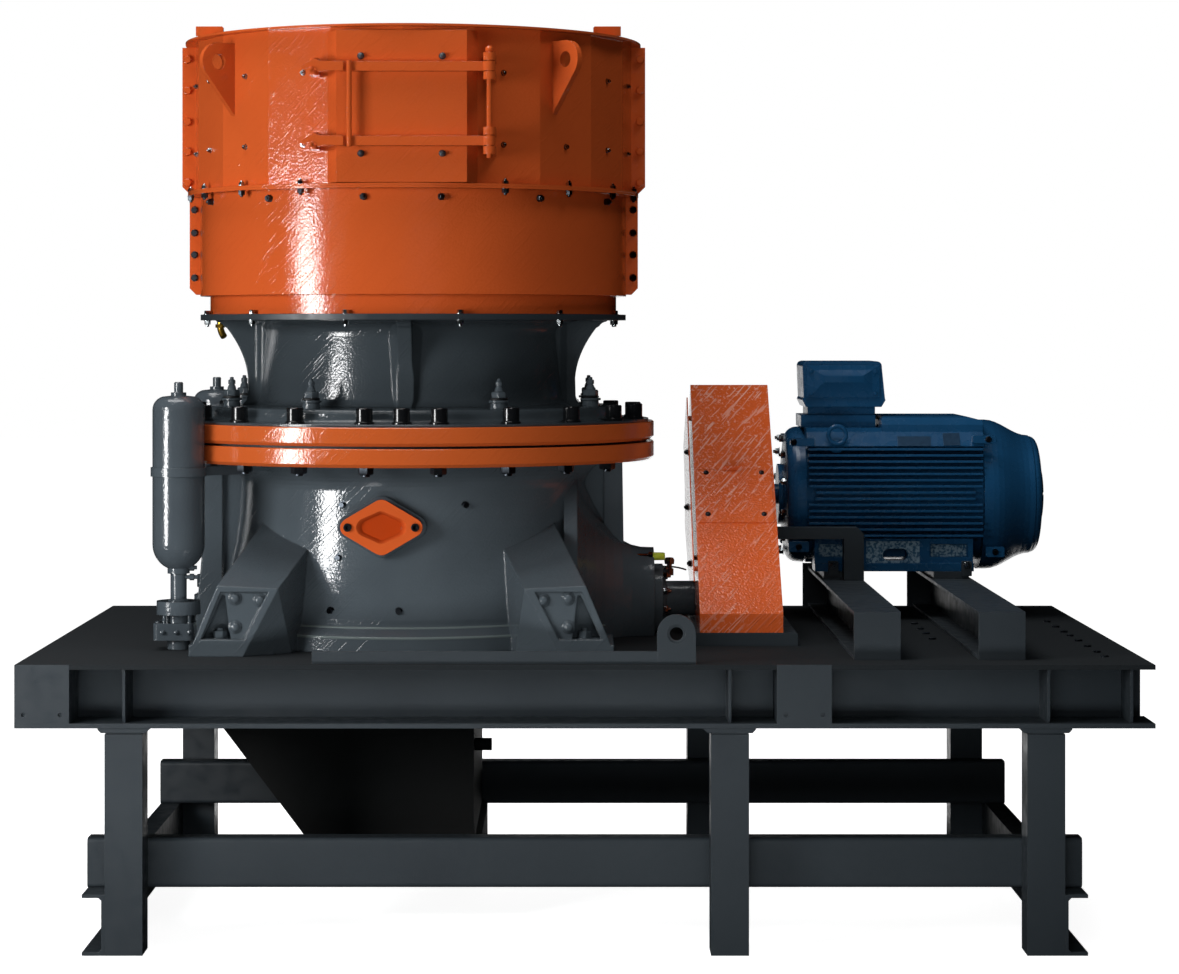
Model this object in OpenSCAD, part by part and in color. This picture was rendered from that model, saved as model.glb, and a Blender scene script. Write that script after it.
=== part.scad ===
// Cone crusher plant: crusher, feed hopper, belt drive and motor on one
// welded steel stand.  Millimetres, +Z up, +X towards the motor, -Y is the
// front.  Origin: middle of the stand at floor level.

/* [Stand] */
// Length of the deck along X
deck_l = 4800; // [4400:10:5800]
// Depth of the deck along Y
deck_d = 2760; // [2600:10:3320]
// Height of the deck's top face above the floor
deck_z = 1225; // [1000:5:1500]
// Thickness of the deck plate and of the girder flanges
plate_t = 20; // [12:1:25]
// Height of the deck girders, plate included
girder_h = 267; // [220:1:320]
// Depth of the girder flanges in front of the web
girder_flange = 240; // [180:5:260]
// Thickness of the girder webs
web_t = 20; // [10:1:25]
// Side of the square legs
leg_w = 160; // [120:5:200]
// Width of the cap plate on a leg
leg_cap_w = 217; // [200:1:240]
// Distance of the outer legs from the middle of the stand
leg_x = 1942; // [1800:2:2000]
// Place of the middle legs along X
mid_leg_x = 611; // [300:1:660]
// Place of the middle cross beam's left side along X
mid_cross_x = 808; // [700:2:900]
// Width of the closed cross beams
cross_w = 231; // [180:1:260]
// Height of the long lower rails
rail_h = 212; // [160:2:240]
// Depth of the long lower rails
rail_d = 120; // [80:5:160]
// Half length of the long lower rails
rail_x = 2120; // [2080:5:2200]
// Height of the side sills
sill_h = 257; // [200:1:300]
// Width of the side sills' flanges
sill_w = 96; // [70:2:120]
// Thickness of the side sills
sill_t = 14; // [8:1:20]
// Height of the chute's mouth above the floor
chute_low = 160; // [120:10:400]
// Plate thickness of the chute
chute_t = 12; // [6:1:20]

/* [Crusher] */
// Place of the crusher's axis along X
crusher_x = -790; // [-850:5:-700]
// Outer radius of the two main flanges
flange_r = 1117; // [1080:1:1340]
// Thickness of one main flange
flange_t = 82; // [60:2:100]
// Height of the bottom shell, deck to lower flange
bottom_h = 815; // [760:5:900]
// Height of the top shell, upper flange to hopper plate
top_h = 465; // [400:5:520]
// Least distance of the side ribs' faces from the axis
neck_r = 750; // [730:2:800]
// Radius of the bore through both shells
bore_r = 640; // [600:5:650]
// Half distance between the outer edges of the feet along X
foot_x = 917; // [880:1:960]
// Distance of the feet's front face from the axis
foot_y = 1060; // [1020:5:1120]

/* [Hopper] */
// Radius of the plate under the hopper
plate_r = 987; // [960:1:1040]
// Radius of the lower hopper shell
hopper_r = 988; // [960:1:1040]
// Height of the lower hopper shell
hopper_low_h = 470; // [400:5:565]
// Corner radius of the many-sided upper hopper
hopper_top_r = 1015; // [1000:1:1220]
// Height of the upper hopper
hopper_top_h = 688; // [660:2:830]
// Plate thickness of the hopper
hopper_t = 16; // [8:1:25]
// Number of sides of the upper hopper
hopper_sides = 20; // [20]
// Width of the inspection door
door_w = 566; // [500:2:600]
// Height of the inspection door
door_h = 657; // [600:1:680]
// Thickness of the door's plate
door_t = 12; // [8:1:16]
// Height of a hinge strap
strap_h = 41; // [30:1:50]
// Radius of the hinge pin
hinge_r = 12; // [8:1:16]

/* [Drive] */
// Height of the pinion shaft above the deck
pinion_h = 161; // [161:1:200]
// Radius of the pinion housing
pinion_r = 80; // [60:2:110]
// Left side of the belt guard along X
guard_x = 517; // [480:1:560]
// Width of the belt guard
guard_w = 372; // [320:2:390]
// Place of the motor's axis along Y
motor_y = 940; // [780:5:1130]
// Height of the motor's shaft above its feet
shaft_h = 355; // [330:5:425]
// Left end of the motor along X
motor_x = 966; // [940:1:1000]
// Length of the ribbed motor frame
frame_l = 860; // [780:5:900]
// Radius of the motor's fan cowl
shield_r = 370; // [350:5:380]
// Radius of the motor's drive-end shield
bell_r = 337; // [325:1:350]
// Pitch of the cooling fins
fin_pitch = 30; // [24:1:36]
// Left side of the left motor rail along X
motor_rail_x = 1150; // [1120:2:1180]
// Distance between the two motor rails
motor_rail_pitch = 533; // [500:1:560]
// Width of the motor rails
motor_rail_w = 200; // [160:5:220]
// Height of the motor rails
motor_rail_h = 205; // [180:5:220]
// Height of the slide base on the motor rails
slide_h = 35; // [20:1:50]

/* [Accumulators] */
// Radius of an accumulator
acc_r = 115; // [90:1:130]
// Length of an accumulator's shell
acc_l = 773; // [600:1:900]
// Angle of the accumulators about the crusher, from -X
acc_angle = 35.9; // [34:0.1:40]

/* [Hidden] */

$fn = 96;

// Overlap where two forms of one piece are joined
eps = 0.5;
// Running gap of round pieces that seat in one another
fit = 0.3;

// Stand
deck_x = deck_l / 2;
deck_y = deck_d / 2;
under_z = deck_z - girder_h;
web_y = deck_y - girder_flange;
leg_front = deck_y - 10;
leg_top = under_z - plate_t;
rail_y = leg_front - leg_w;
end_web_x = deck_x - 84;
cover_t = 10;
stiffener_t = 12;
chute_right = 300;

// Heights of the crusher's joints
flange_gap = 10;
z_low_flange = deck_z + bottom_h;
z_up_flange = z_low_flange + flange_t + flange_gap;
z_top_shell = z_up_flange + flange_t;
z_plate = z_top_shell + top_h;
hopper_plate_t = 26;
z_ring = z_plate + hopper_plate_t;
hopper_ring_h = 85;
z_hopper = z_ring + hopper_ring_h;
z_joint = z_hopper + hopper_low_h;
lip_t = 10;
z_prism = z_joint + lip_t;
z_rim = z_prism + hopper_top_h;

// Crusher
z_pin = deck_z + pinion_h;
hole_r = bore_r + 60;
pinion_face = 1116;
cover_face = 850;

// Hopper
joint_r = hopper_top_r + 30;
rim_r = hopper_top_r + 41;
door_z = z_prism + 3;
door_face = hopper_top_r + 25;
strap_d = 40;
strap_z = [z_prism + 159, z_prism + 480];
pin_x = door_w / 2 + 97;
pin_y = door_face + 35;
pin_lug_t = 34;
pin_lug_gap = 4;
latch_x = -door_w / 2 - 95;

// Motor
z_slide = deck_z + motor_rail_h;
z_motor = z_slide + slide_h + shaft_h;
frame_x = 124;
motor_rail_end = motor_y + 410;

// Belt guard, clear of the main flanges
guard_left = max(guard_x, crusher_x + flange_r + 40);
guard_front = 600;
guard_low = deck_z + 58;
guard_peak = [motor_y - 450, z_motor + 550];
guard_lip = deck_z + 143;

// Accumulators
acc_gap = 6;
acc_d = flange_r + acc_r + acc_gap;

steel = "#3b4348";
cast = "#4a5257";
orange = "#e0602a";
blue = "#17456f";
worn = "#6b6f72";

// Points of a regular polygon
function ngon(n, r) = [for (i = [0 : n - 1]) r * [cos(360 * i / n), sin(360 * i / n)]];

// Points of an arc about [cx, cy]
function arc(cx, cy, r, a, b, n) =
    [for (i = [0 : n]) [cx + r * cos(a + (b - a) * i / n), cy + r * sin(a + (b - a) * i / n)]];

// A rectangle from the origin with round corners
function round_box(w, h, r, n = 5) = concat(
    arc(w - r, r, r, -90, 0, n), arc(w - r, h - r, r, 0, 90, n),
    arc(r, h - r, r, 90, 180, n), arc(r, r, r, 180, 270, n));

// A lozenge with round corners: half width a and half height b between corner centres
function lozenge(a, b, ra, rb) = let (t = atan2(b, -a) - acos((ra - rb) / norm([a, b]))) concat(
    arc(a, 0, ra, -t, t, 6), arc(0, b, rb, t, 180 - t, 6),
    arc(-a, 0, ra, 180 - t, 180 + t, 6), arc(0, -b, rb, 180 + t, 360 - t, 6));

// Outline of a lug: a square root from y = 0 and a round end about [0, l]
function tongue(l, r) = [[r, 0], each arc(0, l, r, 0, 180, 12), [-r, 0]];

// A box by its two corners
module block(a, b) translate(a) cube(b - a);

// A cylinder lying along +X
module rod_x(r, l) rotate([0, 90, 0]) cylinder(r = r, h = l);

// A cylinder lying along +Y
module rod_y(r, l) rotate([-90, 0, 0]) cylinder(r = r, h = l);

// A plate drawn in X and Z, its front at y
module plate_xz(y, t) translate([0, y + t, 0]) rotate([90, 0, 0]) linear_extrude(t) children();

// A plate drawn in Y and Z, its left side at x
module plate_yz(x, t) translate([x, 0, 0]) rotate([90, 0, 90]) linear_extrude(t) children();

module front_and_rear() {
    children();
    mirror([0, 1, 0]) children();
}

module left_and_right() {
    children();
    mirror([1, 0, 0]) children();
}

module at_crusher() translate([crusher_x, 0, 0]) children();

// ---------------------------------------------------------------- stand

module deck_plate() color(steel) difference() {
    block([-deck_x, -deck_y, deck_z - plate_t], [deck_x, deck_y, deck_z]);
    translate([crusher_x, 0, deck_z - 2 * plate_t]) cylinder(r = hole_r, h = 3 * plate_t);
    for (x = [-deck_x, mid_cross_x]) front_and_rear()
        block([x - 1, -deck_y - 1, deck_z - 2 * plate_t], [x + cross_w, -deck_y + cover_t, deck_z + 1]);
}

// Web, bottom flange and clipped stiffeners of one deck girder
module girder() {
    clip = 30;
    for (bay = [[-deck_x + cross_w, mid_cross_x], [mid_cross_x + cross_w, deck_x]]) {
        block([bay[0], -deck_y, under_z], [bay[1], -web_y + web_t, under_z + plate_t]);
        block([bay[0], -web_y, under_z + plate_t - eps],
            [min(bay[1], deck_x - web_t), -web_y + web_t, deck_z - plate_t]);
    }
    for (x = [-leg_x, mid_leg_x, leg_x + stiffener_t, end_web_x - stiffener_t])
        plate_yz(x - stiffener_t / 2, stiffener_t) polygon([
            [-deck_y + clip, under_z + plate_t - eps], [-web_y + eps, under_z + plate_t - eps],
            [-web_y + eps, deck_z - plate_t], [-deck_y + plate_t, deck_z - plate_t],
            [-deck_y + plate_t, under_z + plate_t + clip]]);
}

module girder_front() color(steel) girder();
module girder_rear() color(steel) mirror([0, 1, 0]) girder();

// Closed box beam across the stand with a drilled flush cover at each end
module cross_beam(x) {
    drill_r = 9;
    drill_in = 38;
    block([x, -deck_y + cover_t - eps, under_z], [x + cross_w, deck_y - cover_t + eps, deck_z - plate_t]);
    front_and_rear() difference() {
        block([x, -deck_y, under_z], [x + cross_w, -deck_y + cover_t, deck_z]);
        for (dx = [drill_in, cross_w - drill_in])
            translate([x + dx, -deck_y - 1, under_z + 57]) rod_y(drill_r, cover_t + 1);
    }
}

module cross_beam_left() color(steel) cross_beam(-deck_x);
module cross_beam_middle() color(steel) cross_beam(mid_cross_x);

// End channel between the two girder webs
module cross_beam_right() color(steel) {
    flange_w = 100;
    y = web_y - web_t;
    block([end_web_x - web_t, -y, under_z + plate_t - eps], [end_web_x, y, deck_z - plate_t]);
    block([end_web_x - flange_w, -y, under_z], [end_web_x, y, under_z + plate_t]);
}

// Closed box beams that carry the crusher's feet
module crusher_bearers() color(steel) front_and_rear()
    block([-deck_x + cross_w, -foot_y + 100, under_z], [mid_cross_x, -foot_y + 280, deck_z - plate_t]);

// Square leg with a set-in neck under its bevelled cap plate
module leg(x) {
    neck = 6;
    bevel = 14;
    cap_front = leg_front + neck;
    block([x - leg_w / 2, -leg_front, 0], [x + leg_w / 2, -rail_y, leg_top - neck]);
    block([x - leg_w / 2 + neck, -leg_front + neck, leg_top - neck - eps],
        [x + leg_w / 2 - neck, -rail_y - neck, leg_top + eps]);
    plate_xz(-cap_front, leg_cap_w) polygon([
        [x - leg_cap_w / 2 + bevel, leg_top], [x + leg_cap_w / 2 - bevel, leg_top],
        [x + leg_cap_w / 2, leg_top + bevel], [x + leg_cap_w / 2, under_z],
        [x - leg_cap_w / 2, under_z], [x - leg_cap_w / 2, leg_top + bevel]]);
}

module legs() for (x = [-leg_x, mid_leg_x, leg_x]) leg(x);

module legs_front() color(steel) legs();
module legs_rear() color(steel) mirror([0, 1, 0]) legs();

// Closed tube with rounded long edges on the legs' inner faces
module long_rail() translate([-rail_x, -rail_y, sill_h]) rotate([90, 0, 90])
    linear_extrude(2 * rail_x) polygon(round_box(rail_d, rail_h, 18));

module rail_front() color(steel) long_rail();
module rail_rear() color(steel) mirror([0, 1, 0]) long_rail();

// Channel outside the legs, from the front leg's face to the rear leg's
module sill() {
    root = 12;
    x = leg_x + leg_w / 2;
    translate([x, leg_front, 0]) rotate([90, 0, 0]) linear_extrude(2 * leg_front) polygon([
        [0, 0], [sill_w, 0], [sill_w, sill_t], [sill_t + root, sill_t],
        [sill_t, sill_t + root], [sill_t, sill_h - sill_t - root],
        [sill_t + root, sill_h - sill_t], [sill_w, sill_h - sill_t], [sill_w, sill_h], [0, sill_h]]);
}

module sill_left() color(steel) mirror([1, 0, 0]) sill();
module sill_right() color(steel) sill();

// Plate chute under the crusher, drawn in to one side, with a drain stub
module chute() color("#23282b") {
    stub_z = deck_z - 452;
    stub_l = 76;
    stub_r = 28;
    difference() {
        chute_form(deck_z - plate_t, chute_low, 0);
        chute_form(deck_z - plate_t + 1, chute_low - 1, chute_t);
    }
    translate([crusher_x + chute_right - 1, -500, stub_z]) rod_x(stub_r, stub_l + 1);
}

// The chute's body, t smaller on every side
module chute_form(top, low, t) {
    half_d = 640;
    slope = 0.756;
    right = crusher_x + chute_right;
    bulge = 26;
    bulge_z = deck_z - 895;
    left = crusher_x - 1074 + slope * (deck_z - plate_t);
    side = t * norm([1, slope]);
    plate_xz(-half_d + t, 2 * (half_d - t)) polygon([
        [left - slope * top + side, top], [right - t, top], [right - t, bulge_z + bulge],
        [right + bulge - t, bulge_z], [right + bulge - t, low], [left - slope * low + side, low]]);
}

// Flat bar along the deck's front edge, ending in a lug with a bushed eye
module base_bar() color(steel) {
    bar_h = 53;
    bar_t = 20;
    front = deck_y - 40;
    lug_r = 82;
    lug_z = deck_z + 127;
    eye_r = 38;
    x0 = crusher_x - 362;
    x1 = crusher_x + 1259;
    block([x0, -front, deck_z], [x1, -front + bar_t, deck_z + bar_h]);
    plate_xz(-front - 1, bar_t + 2) difference() {
        translate([x1 - lug_r, deck_z]) polygon(tongue(lug_z - deck_z, lug_r));
        translate([x1 - lug_r, lug_z]) circle(eye_r);
    }
    translate([x1 - lug_r, -front + 6, lug_z]) difference() {
        rod_y(eye_r + eps, 12);
        translate([0, -1, 0]) rod_y(eye_r - 10, 14);
    }
}

// -------------------------------------------------------------- crusher

// Outer outline of the bottom shell, bottom to top
function bottom_outline() = [
    [950, deck_z], [950, deck_z + 67], [936, deck_z + 80], [903, deck_z + 106], [895, deck_z + 120],
    for (i = [0 : 10]) let (k = i / 10) [795 + 100 * pow(1 - k, 2), deck_z + 140 + k * (bottom_h - 255)],
    for (i = [1 : 6]) let (k = i / 6) [795 + 110 * k * k, deck_z + bottom_h - 115 + k * 115]];

module bottom_shell() color(cast) at_crusher() difference() {
    union() {
        rotate_extrude() polygon([[bore_r, deck_z], each bottom_outline(), [bore_r, z_low_flange]]);
        pinion_flare();
        left_and_right() front_and_rear() foot();
        side_rib(1010);
        mirror([1, 0, 0]) side_rib(976);
        at_cover() translate([0, 0, -160]) linear_extrude(160) polygon(lozenge(146, 74, 50, 60));
    }
    translate([0, 0, deck_z - 1]) cylinder(r = bore_r, h = bottom_h + 2);
    translate([500, 0, z_pin]) rod_x(pinion_r + fit, pinion_face);
}

// Trumpet round the pinion shaft, cut off flat at the deck
module pinion_flare() {
    mouth_r = 237;
    root_r = 620;
    intersection() {
        translate([700, 0, z_pin]) rotate([0, 90, 0]) rotate_extrude() polygon([
            [0, 0], [root_r, 0],
            for (i = [0 : 8]) let (k = i / 8)
                [mouth_r + (root_r - mouth_r) * pow(1 - k, 2.5), 60 + (pinion_face - 780) * k],
            [mouth_r, pinion_face - 700], [0, pinion_face - 700]]);
        block([0, -900, deck_z], [1200, 900, z_low_flange]);
    }
}

// Buttress from the shell to a flat front pad with a three-cornered pocket
module foot() {
    lip = 50;
    base_in = foot_x - 227;
    pad_t = 12;
    pocket_d = 110;
    top_z = deck_z + 306;
    panel_d = 18;
    difference() {
        union() {
            hull() {
                plate_xz(-foot_y, pad_t) polygon([
                    [base_in - 6, deck_z], [foot_x - 24, deck_z], [foot_x - 15, deck_z + lip + 3],
                    [foot_x - 122, top_z], [foot_x - 386, top_z - 13]]);
                block([489, -900, deck_z], [491, -898, deck_z + 1]);
                block([377, -476, deck_z], [379, -474, z_low_flange - 293]);
                block([629, -354, deck_z], [631, -352, z_low_flange - 232]);
            }
            translate([0, 0, deck_z]) linear_extrude(lip) polygon([
                [base_in + 30, -foot_y], [foot_x, -foot_y], [foot_x, -560], [500, -560],
                [base_in - 129, -foot_y + 95], [base_in, -foot_y + 12]]);
        }
        plate_xz(-foot_y - 1, panel_d + 1) polygon([
            [foot_x - 238, deck_z + lip + 24], [foot_x - 52, deck_z + lip + 24], [foot_x - 138, top_z - 27],
            [foot_x - 341, top_z - 27]]);
        plate_xz(-foot_y - 1, pocket_d) polygon([
            [foot_x - 180, deck_z + lip + 24], [foot_x - 58, deck_z + lip + 28], [foot_x - 142, top_z - 43],
            [foot_x - 156, top_z - 43]]);
    }
}

// T-shaped pillar at the shell's left side; low is its reach at the deck
module side_rib(low) {
    pillar_w = 130;
    web_w = 60;
    face = 976;
    plate_xz(-pillar_w / 2, pillar_w) polygon([
        [-low, deck_z], [-low, deck_z + 60], [-face, deck_z + 420], [-face + 6, z_low_flange],
        [-face + 91, z_low_flange], [-face + 91, deck_z + 420], [-face + 86, deck_z]]);
    block([-face + 90, -web_w / 2, deck_z], [-700, web_w / 2, z_low_flange]);
}

// Places things on the cover's boss, their backs at the boss's face
module at_cover() translate([-97, -cover_face, deck_z + 546]) rotate([90, 0, 0]) children();

// Lozenge-shaped cover with a pressed-in bowl
module inspection_cover() color(orange) at_crusher() at_cover() difference() {
    cover_d = 34;
    bowl = 24;
    linear_extrude(cover_d) polygon(lozenge(140, 71, 40, 50));
    hull() {
        translate([0, 0, cover_d]) linear_extrude(1) polygon(lozenge(70, 31, 40, 40));
        translate([0, 0, cover_d - bowl]) linear_extrude(1) polygon(lozenge(58, 26, 30, 30));
    }
}

// One of the two heavy clamping flanges
module flange_ring(z) translate([0, 0, z]) rotate_extrude() polygon([
    [hole_r, 0], [flange_r - 14, 0], [flange_r, 14], [flange_r, flange_t - 4], [flange_r - 4, flange_t],
    [hole_r, flange_t]]);

module lower_flange() color(orange) at_crusher() flange_ring(z_low_flange);
module upper_flange() color(orange) at_crusher() flange_ring(z_up_flange);

// Outer face of a side rib, from the ledge up to the hopper plate
function rib_outline(face) = let (z_neck = z_top_shell + 176, rise = z_plate - 36 - z_neck) [
    [face + 190, z_top_shell + 68], each arc(face + 45, z_top_shell + 118, 42, 270, 185, 5),
    for (i = [1 : 10]) let (k = i / 10) [face + 97 * k * k, z_neck + rise * k],
    each arc(face + 148, z_plate - 48, 42, 150, 95, 4), [face + 150, z_plate]];

module top_shell() color(cast) at_crusher() {
    z0 = z_top_shell;
    recess_r = 703;
    side_w = 212;
    rotate_extrude() polygon([
        [bore_r, z0], [flange_r - 25, z0], [flange_r - 25, z0 + 12],
        each arc(992, z0 + 42, 30, 270, 180, 5), [960, z0 + 58], each arc(942, z0 + 56, 16, 0, 80, 3),
        [recess_r + 65, z0 + 78], each arc(recess_r + 67, z0 + 118, 40, 262, 190, 5),
        [recess_r, z_plate - 70], each arc(recess_r + 50, z_plate - 66, 50, 180, 110, 5),
        [recess_r + 87, z_plate], [bore_r, z_plate]]);
    left_and_right() intersection() {
        plate_xz(-side_w - 30, 2 * side_w + 60) polygon([[600, z0 + 20], [neck_r + 190, z0 + 20], each rib_outline(neck_r),
            [600, z_plate]]);
        translate([0, 0, z0]) linear_extrude(top_h) difference() {
            polygon([[500, -side_w - 30], [recess_r - 20, -side_w - 30], [recess_r + 10, -side_w],
                [1000, -side_w], [1000, side_w], [recess_r + 10, side_w], [recess_r - 20, side_w + 30],
                [500, side_w + 30]]);
            circle(bore_r + 5);
        }
    }
    front_and_rear() intersection() {
        plate_yz(-90, 180) mirror([1, 0]) polygon([[650, z0 + 20], [neck_r + 190, z0 + 20],
            each rib_outline(neck_r), [650, z_plate]]);
        translate([0, 0, z0]) linear_extrude(top_h)
            polygon([[-90, -640], [-72, -recess_r], [-32, -760], [-32, -1000],
                [32, -1000], [32, -760], [72, -recess_r], [90, -640]]);
    }
}

// Two arms across the feed opening and the hub that holds the main shaft
module spider() color(cast) at_crusher() {
    hub_r = 260;
    arm_w = 180;
    intersection() {
        plate_xz(-arm_w / 2, arm_w) polygon([
            [0, z_plate - 300], [bore_r, z_plate - 220], [bore_r, z_plate - 60], [0, z_plate - 30],
            [-bore_r, z_plate - 60], [-bore_r, z_plate - 220]]);
        translate([0, 0, z_plate - 400]) cylinder(r = bore_r - fit, h = 500);
    }
    translate([0, 0, z_plate - 330]) cylinder(r = hub_r, h = 300);
}

// Domed cap on the spider's hub
module spider_cap() color(orange) at_crusher() translate([0, 0, z_plate - 30]) rotate_extrude()
    polygon([[0, 0], [250, 0], [250, 40], each arc(190, 60, 50, 0, 80, 4), [90, 150], [0, 155]]);

// Fixed crushing liner
module concave() color(worn) at_crusher() rotate_extrude() polygon([
    [bore_r - fit, z_plate - 310], [bore_r - fit, z_low_flange - 300], [600, z_low_flange - 300],
    [480, z_plate - 310]]);

// Moving crushing cone
module mantle() color(worn) at_crusher() rotate_extrude() polygon([
    [0, z_low_flange - 350], [560, z_low_flange - 350], [200, z_plate - 330 - fit],
    [0, z_plate - 330 - fit]]);

// Flanged housing of the pinion shaft, up to the belt guard
module pinion_housing() color(cast) at_crusher() translate([pinion_face, 0, z_pin]) {
    collar_r = 160;
    collar_l = 42;
    in_bore = 200;
    rod_x(collar_r, collar_l);
    translate([collar_l - 1, 0, 0]) rod_x(pinion_r + 25, 16);
    translate([-in_bore, 0, 0]) rod_x(pinion_r, guard_left - crusher_x - pinion_face + in_bore - fit);
}

// --------------------------------------------------------------- hopper

module ring(z, h, r_in, r_out) translate([0, 0, z]) difference() {
    cylinder(r = r_out, h = h);
    translate([0, 0, -1]) cylinder(r = r_in, h = h + 2);
}

module hopper_plate() color(steel) at_crusher() ring(z_plate, hopper_plate_t, hole_r, plate_r);
module hopper_ring() color(orange) at_crusher() ring(z_ring, hopper_ring_h, plate_r - 67, plate_r - 45);

// Pairs of flat bars down both sides where the two half shells are bolted
module split_flange(z0, z1, r_in, r_out) left_and_right() {
    bar_t = 16;
    chamfer = 30;
    for (y = [-bar_t - 1, 1]) plate_xz(y, bar_t) polygon([
        [r_in, z0], [r_out - chamfer, z0], [r_out, z0 + chamfer], [r_out, z1], [r_in, z1]]);
}

module hopper_lower() color(orange) at_crusher() {
    inner = hopper_r - hopper_t;
    ring(z_hopper, hopper_low_h, inner, hopper_r);
    ring(z_hopper, 16, plate_r - 67, hopper_r);
    ring(z_joint - lip_t, lip_t, inner, joint_r);
    split_flange(z_hopper + 8, z_joint - lip_t + eps, hopper_r - 5, hopper_r + 55);
}

module hopper_upper() color(orange) at_crusher() difference() {
    frame_w = 45;
    union() {
        translate([0, 0, z_prism]) linear_extrude(hopper_top_h) polygon(ngon(hopper_sides, hopper_top_r));
        ring(z_joint, lip_t + eps, hopper_r - hopper_t, joint_r);
        ring(z_rim - lip_t, lip_t, hopper_top_r - 40, rim_r);
        split_flange(z_prism, z_rim - lip_t, hopper_top_r - hopper_t, hopper_top_r + 62);
        for (a = [43, 131, 220, 311]) rotate([0, 0, a]) lifting_lug();
        left_and_right() front_and_rear() rim_tab();
        door_surround();
        for (z = strap_z) {
            hinge_lug(z + strap_h + pin_lug_gap);
            hinge_lug(z - pin_lug_t - pin_lug_gap);
            for (dz = [-16, strap_h - 2]) latch_lug(z + dz);
        }
    }
    translate([0, 0, z_prism]) linear_extrude(hopper_top_h + 1)
        polygon(ngon(hopper_sides, hopper_top_r - hopper_t));
    block([-door_w / 2 + frame_w, -door_face - 1, door_z + frame_w],
        [door_w / 2 - frame_w, -hopper_top_r + 200, door_z + door_h - frame_w]);
}

// Plates that bring the shell out to the flat door
module door_surround() {
    spread = 45;
    translate([0, 0, door_z]) linear_extrude(door_h) polygon([
        [-door_w / 2, -door_face + door_t + eps], [door_w / 2, -door_face + door_t + eps],
        [door_w / 2 + spread, -hopper_top_r + 60], [-door_w / 2 - spread, -hopper_top_r + 60]]);
}

module hinge_lug(z) translate([pin_x, -hopper_top_r + 100, z]) linear_extrude(pin_lug_t) mirror([0, 1])
    difference() {
        polygon(tongue(pin_y - hopper_top_r + 100, 27));
        translate([0, pin_y - hopper_top_r + 100]) circle(hinge_r + fit);
    }

module latch_lug(z) translate([latch_x, -hopper_top_r + 100, z]) linear_extrude(18) mirror([0, 1])
    polygon(tongue(pin_y - hopper_top_r + 80, 20));

// Radial plate with an eye, drawn down to a point on the shell
module lifting_lug() {
    lug_t = 26;
    lug_r = 84;
    reach = 92;
    tip = 244;
    slack = asin(lug_r / norm([reach, tip]));
    wall = hopper_top_r - hopper_t;
    translate([wall, lug_t / 2, z_rim - 136]) rotate([90, 0, 0]) linear_extrude(lug_t)
        difference() {
            polygon([[0, -tip], each arc(reach, 0, lug_r, atan2(tip, reach) - slack - 90, 90, 12),
                [0, lug_r]]);
            translate([reach, 0]) circle(35);
        }
}

// Upright tab on the rim
module rim_tab() translate([hopper_top_r - 183, 0, z_rim]) plate_xz(-490, 16)
    polygon([[0, -eps], [124, -eps], [124, 42], [6, 42], [0, 36]]);

// Flat door on two straps with a stiff bar across them
module door() color(orange) at_crusher() difference() {
    bar_r = 11.5;
    bar_x = -door_w / 2 + 60;
    union() {
        block([-door_w / 2, -door_face, door_z], [door_w / 2, -door_face + door_t, door_z + door_h]);
        for (z = strap_z) {
            block([-door_w / 2 + 17, -door_face - strap_d, z], [pin_x, -door_face + eps, z + strap_h]);
            translate([pin_x, -pin_y, z]) cylinder(r = 26, h = strap_h);
        }
        translate([bar_x, -door_face - strap_d - bar_r + 2, strap_z[0] - 6])
            cylinder(r = bar_r, h = strap_z[1] - strap_z[0] + strap_h + 8);
    }
    translate([pin_x, -pin_y, door_z]) cylinder(r = hinge_r + fit, h = door_h);
}

// Long pin with a round head, through both hinges
module hinge_pin() color(steel) at_crusher() translate([pin_x, -pin_y, strap_z[0] - 55]) {
    pin_l = strap_z[1] - strap_z[0] + strap_h + pin_lug_t + 65;
    head_r = hinge_r + 6;
    cylinder(r = hinge_r, h = pin_l);
    translate([0, 0, pin_l]) rotate_extrude()
        polygon([[0, 0], [head_r, 0], [head_r, 6], each arc(0, 6, head_r, 0, 90, 5)]);
}

// --------------------------------------------------------- accumulators

module at_accumulator() at_crusher() front_and_rear()
    rotate([0, 0, 180 + acc_angle]) translate([acc_d, 0, 0]) children();

// Bottle with a necked foot and a valve stem on its top
module accumulator() {
    z = deck_z + 346;
    neck = 36;
    rotate_extrude() polygon([
        [0, z + acc_l + 60], [16, z + acc_l + 60], [20, z + acc_l + 56], [20, z + acc_l + 14],
        [34, z + acc_l + 14], [34, z + acc_l],
        each arc(acc_r - 60, z + acc_l - 62, 60, 75, 0, 6),
        each arc(0, z + acc_r, acc_r, 0, -62, 8),
        [49, z + 12], [49, z - 12], [neck, z - 14], [neck, z - 124], [48, z - 130], [48, z - 133],
        [0, z - 133]]);
}

module accumulator_front() color(cast) intersection() {
    at_accumulator() accumulator();
    block([-deck_l, -deck_d, 0], [deck_l, 0, z_rim]);
}

module accumulator_rear() color(cast) mirror([0, 1, 0]) accumulator_front();

// Valve blocks between the bottles and the deck, held by four studs each
module accumulator_valves() color(cast) at_accumulator() rotate([0, 0, -180 - acc_angle])
    translate([0, 0, deck_z]) {
        cylinder(r = 42, h = 44);
        translate([0, 0, 43]) linear_extrude(76) difference() {
            translate([-105, -78]) polygon(round_box(178, 156, 26));
            translate([-105, -20]) circle(24);
        }
        for (a = [45 : 90 : 315]) rotate([0, 0, a]) translate([78, 0, 110]) cylinder(r = 9, h = 60);
        cylinder(r = 50, h = 180);
        translate([0, 0, 154]) cylinder(r = 97, h = 59);
    }

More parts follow.
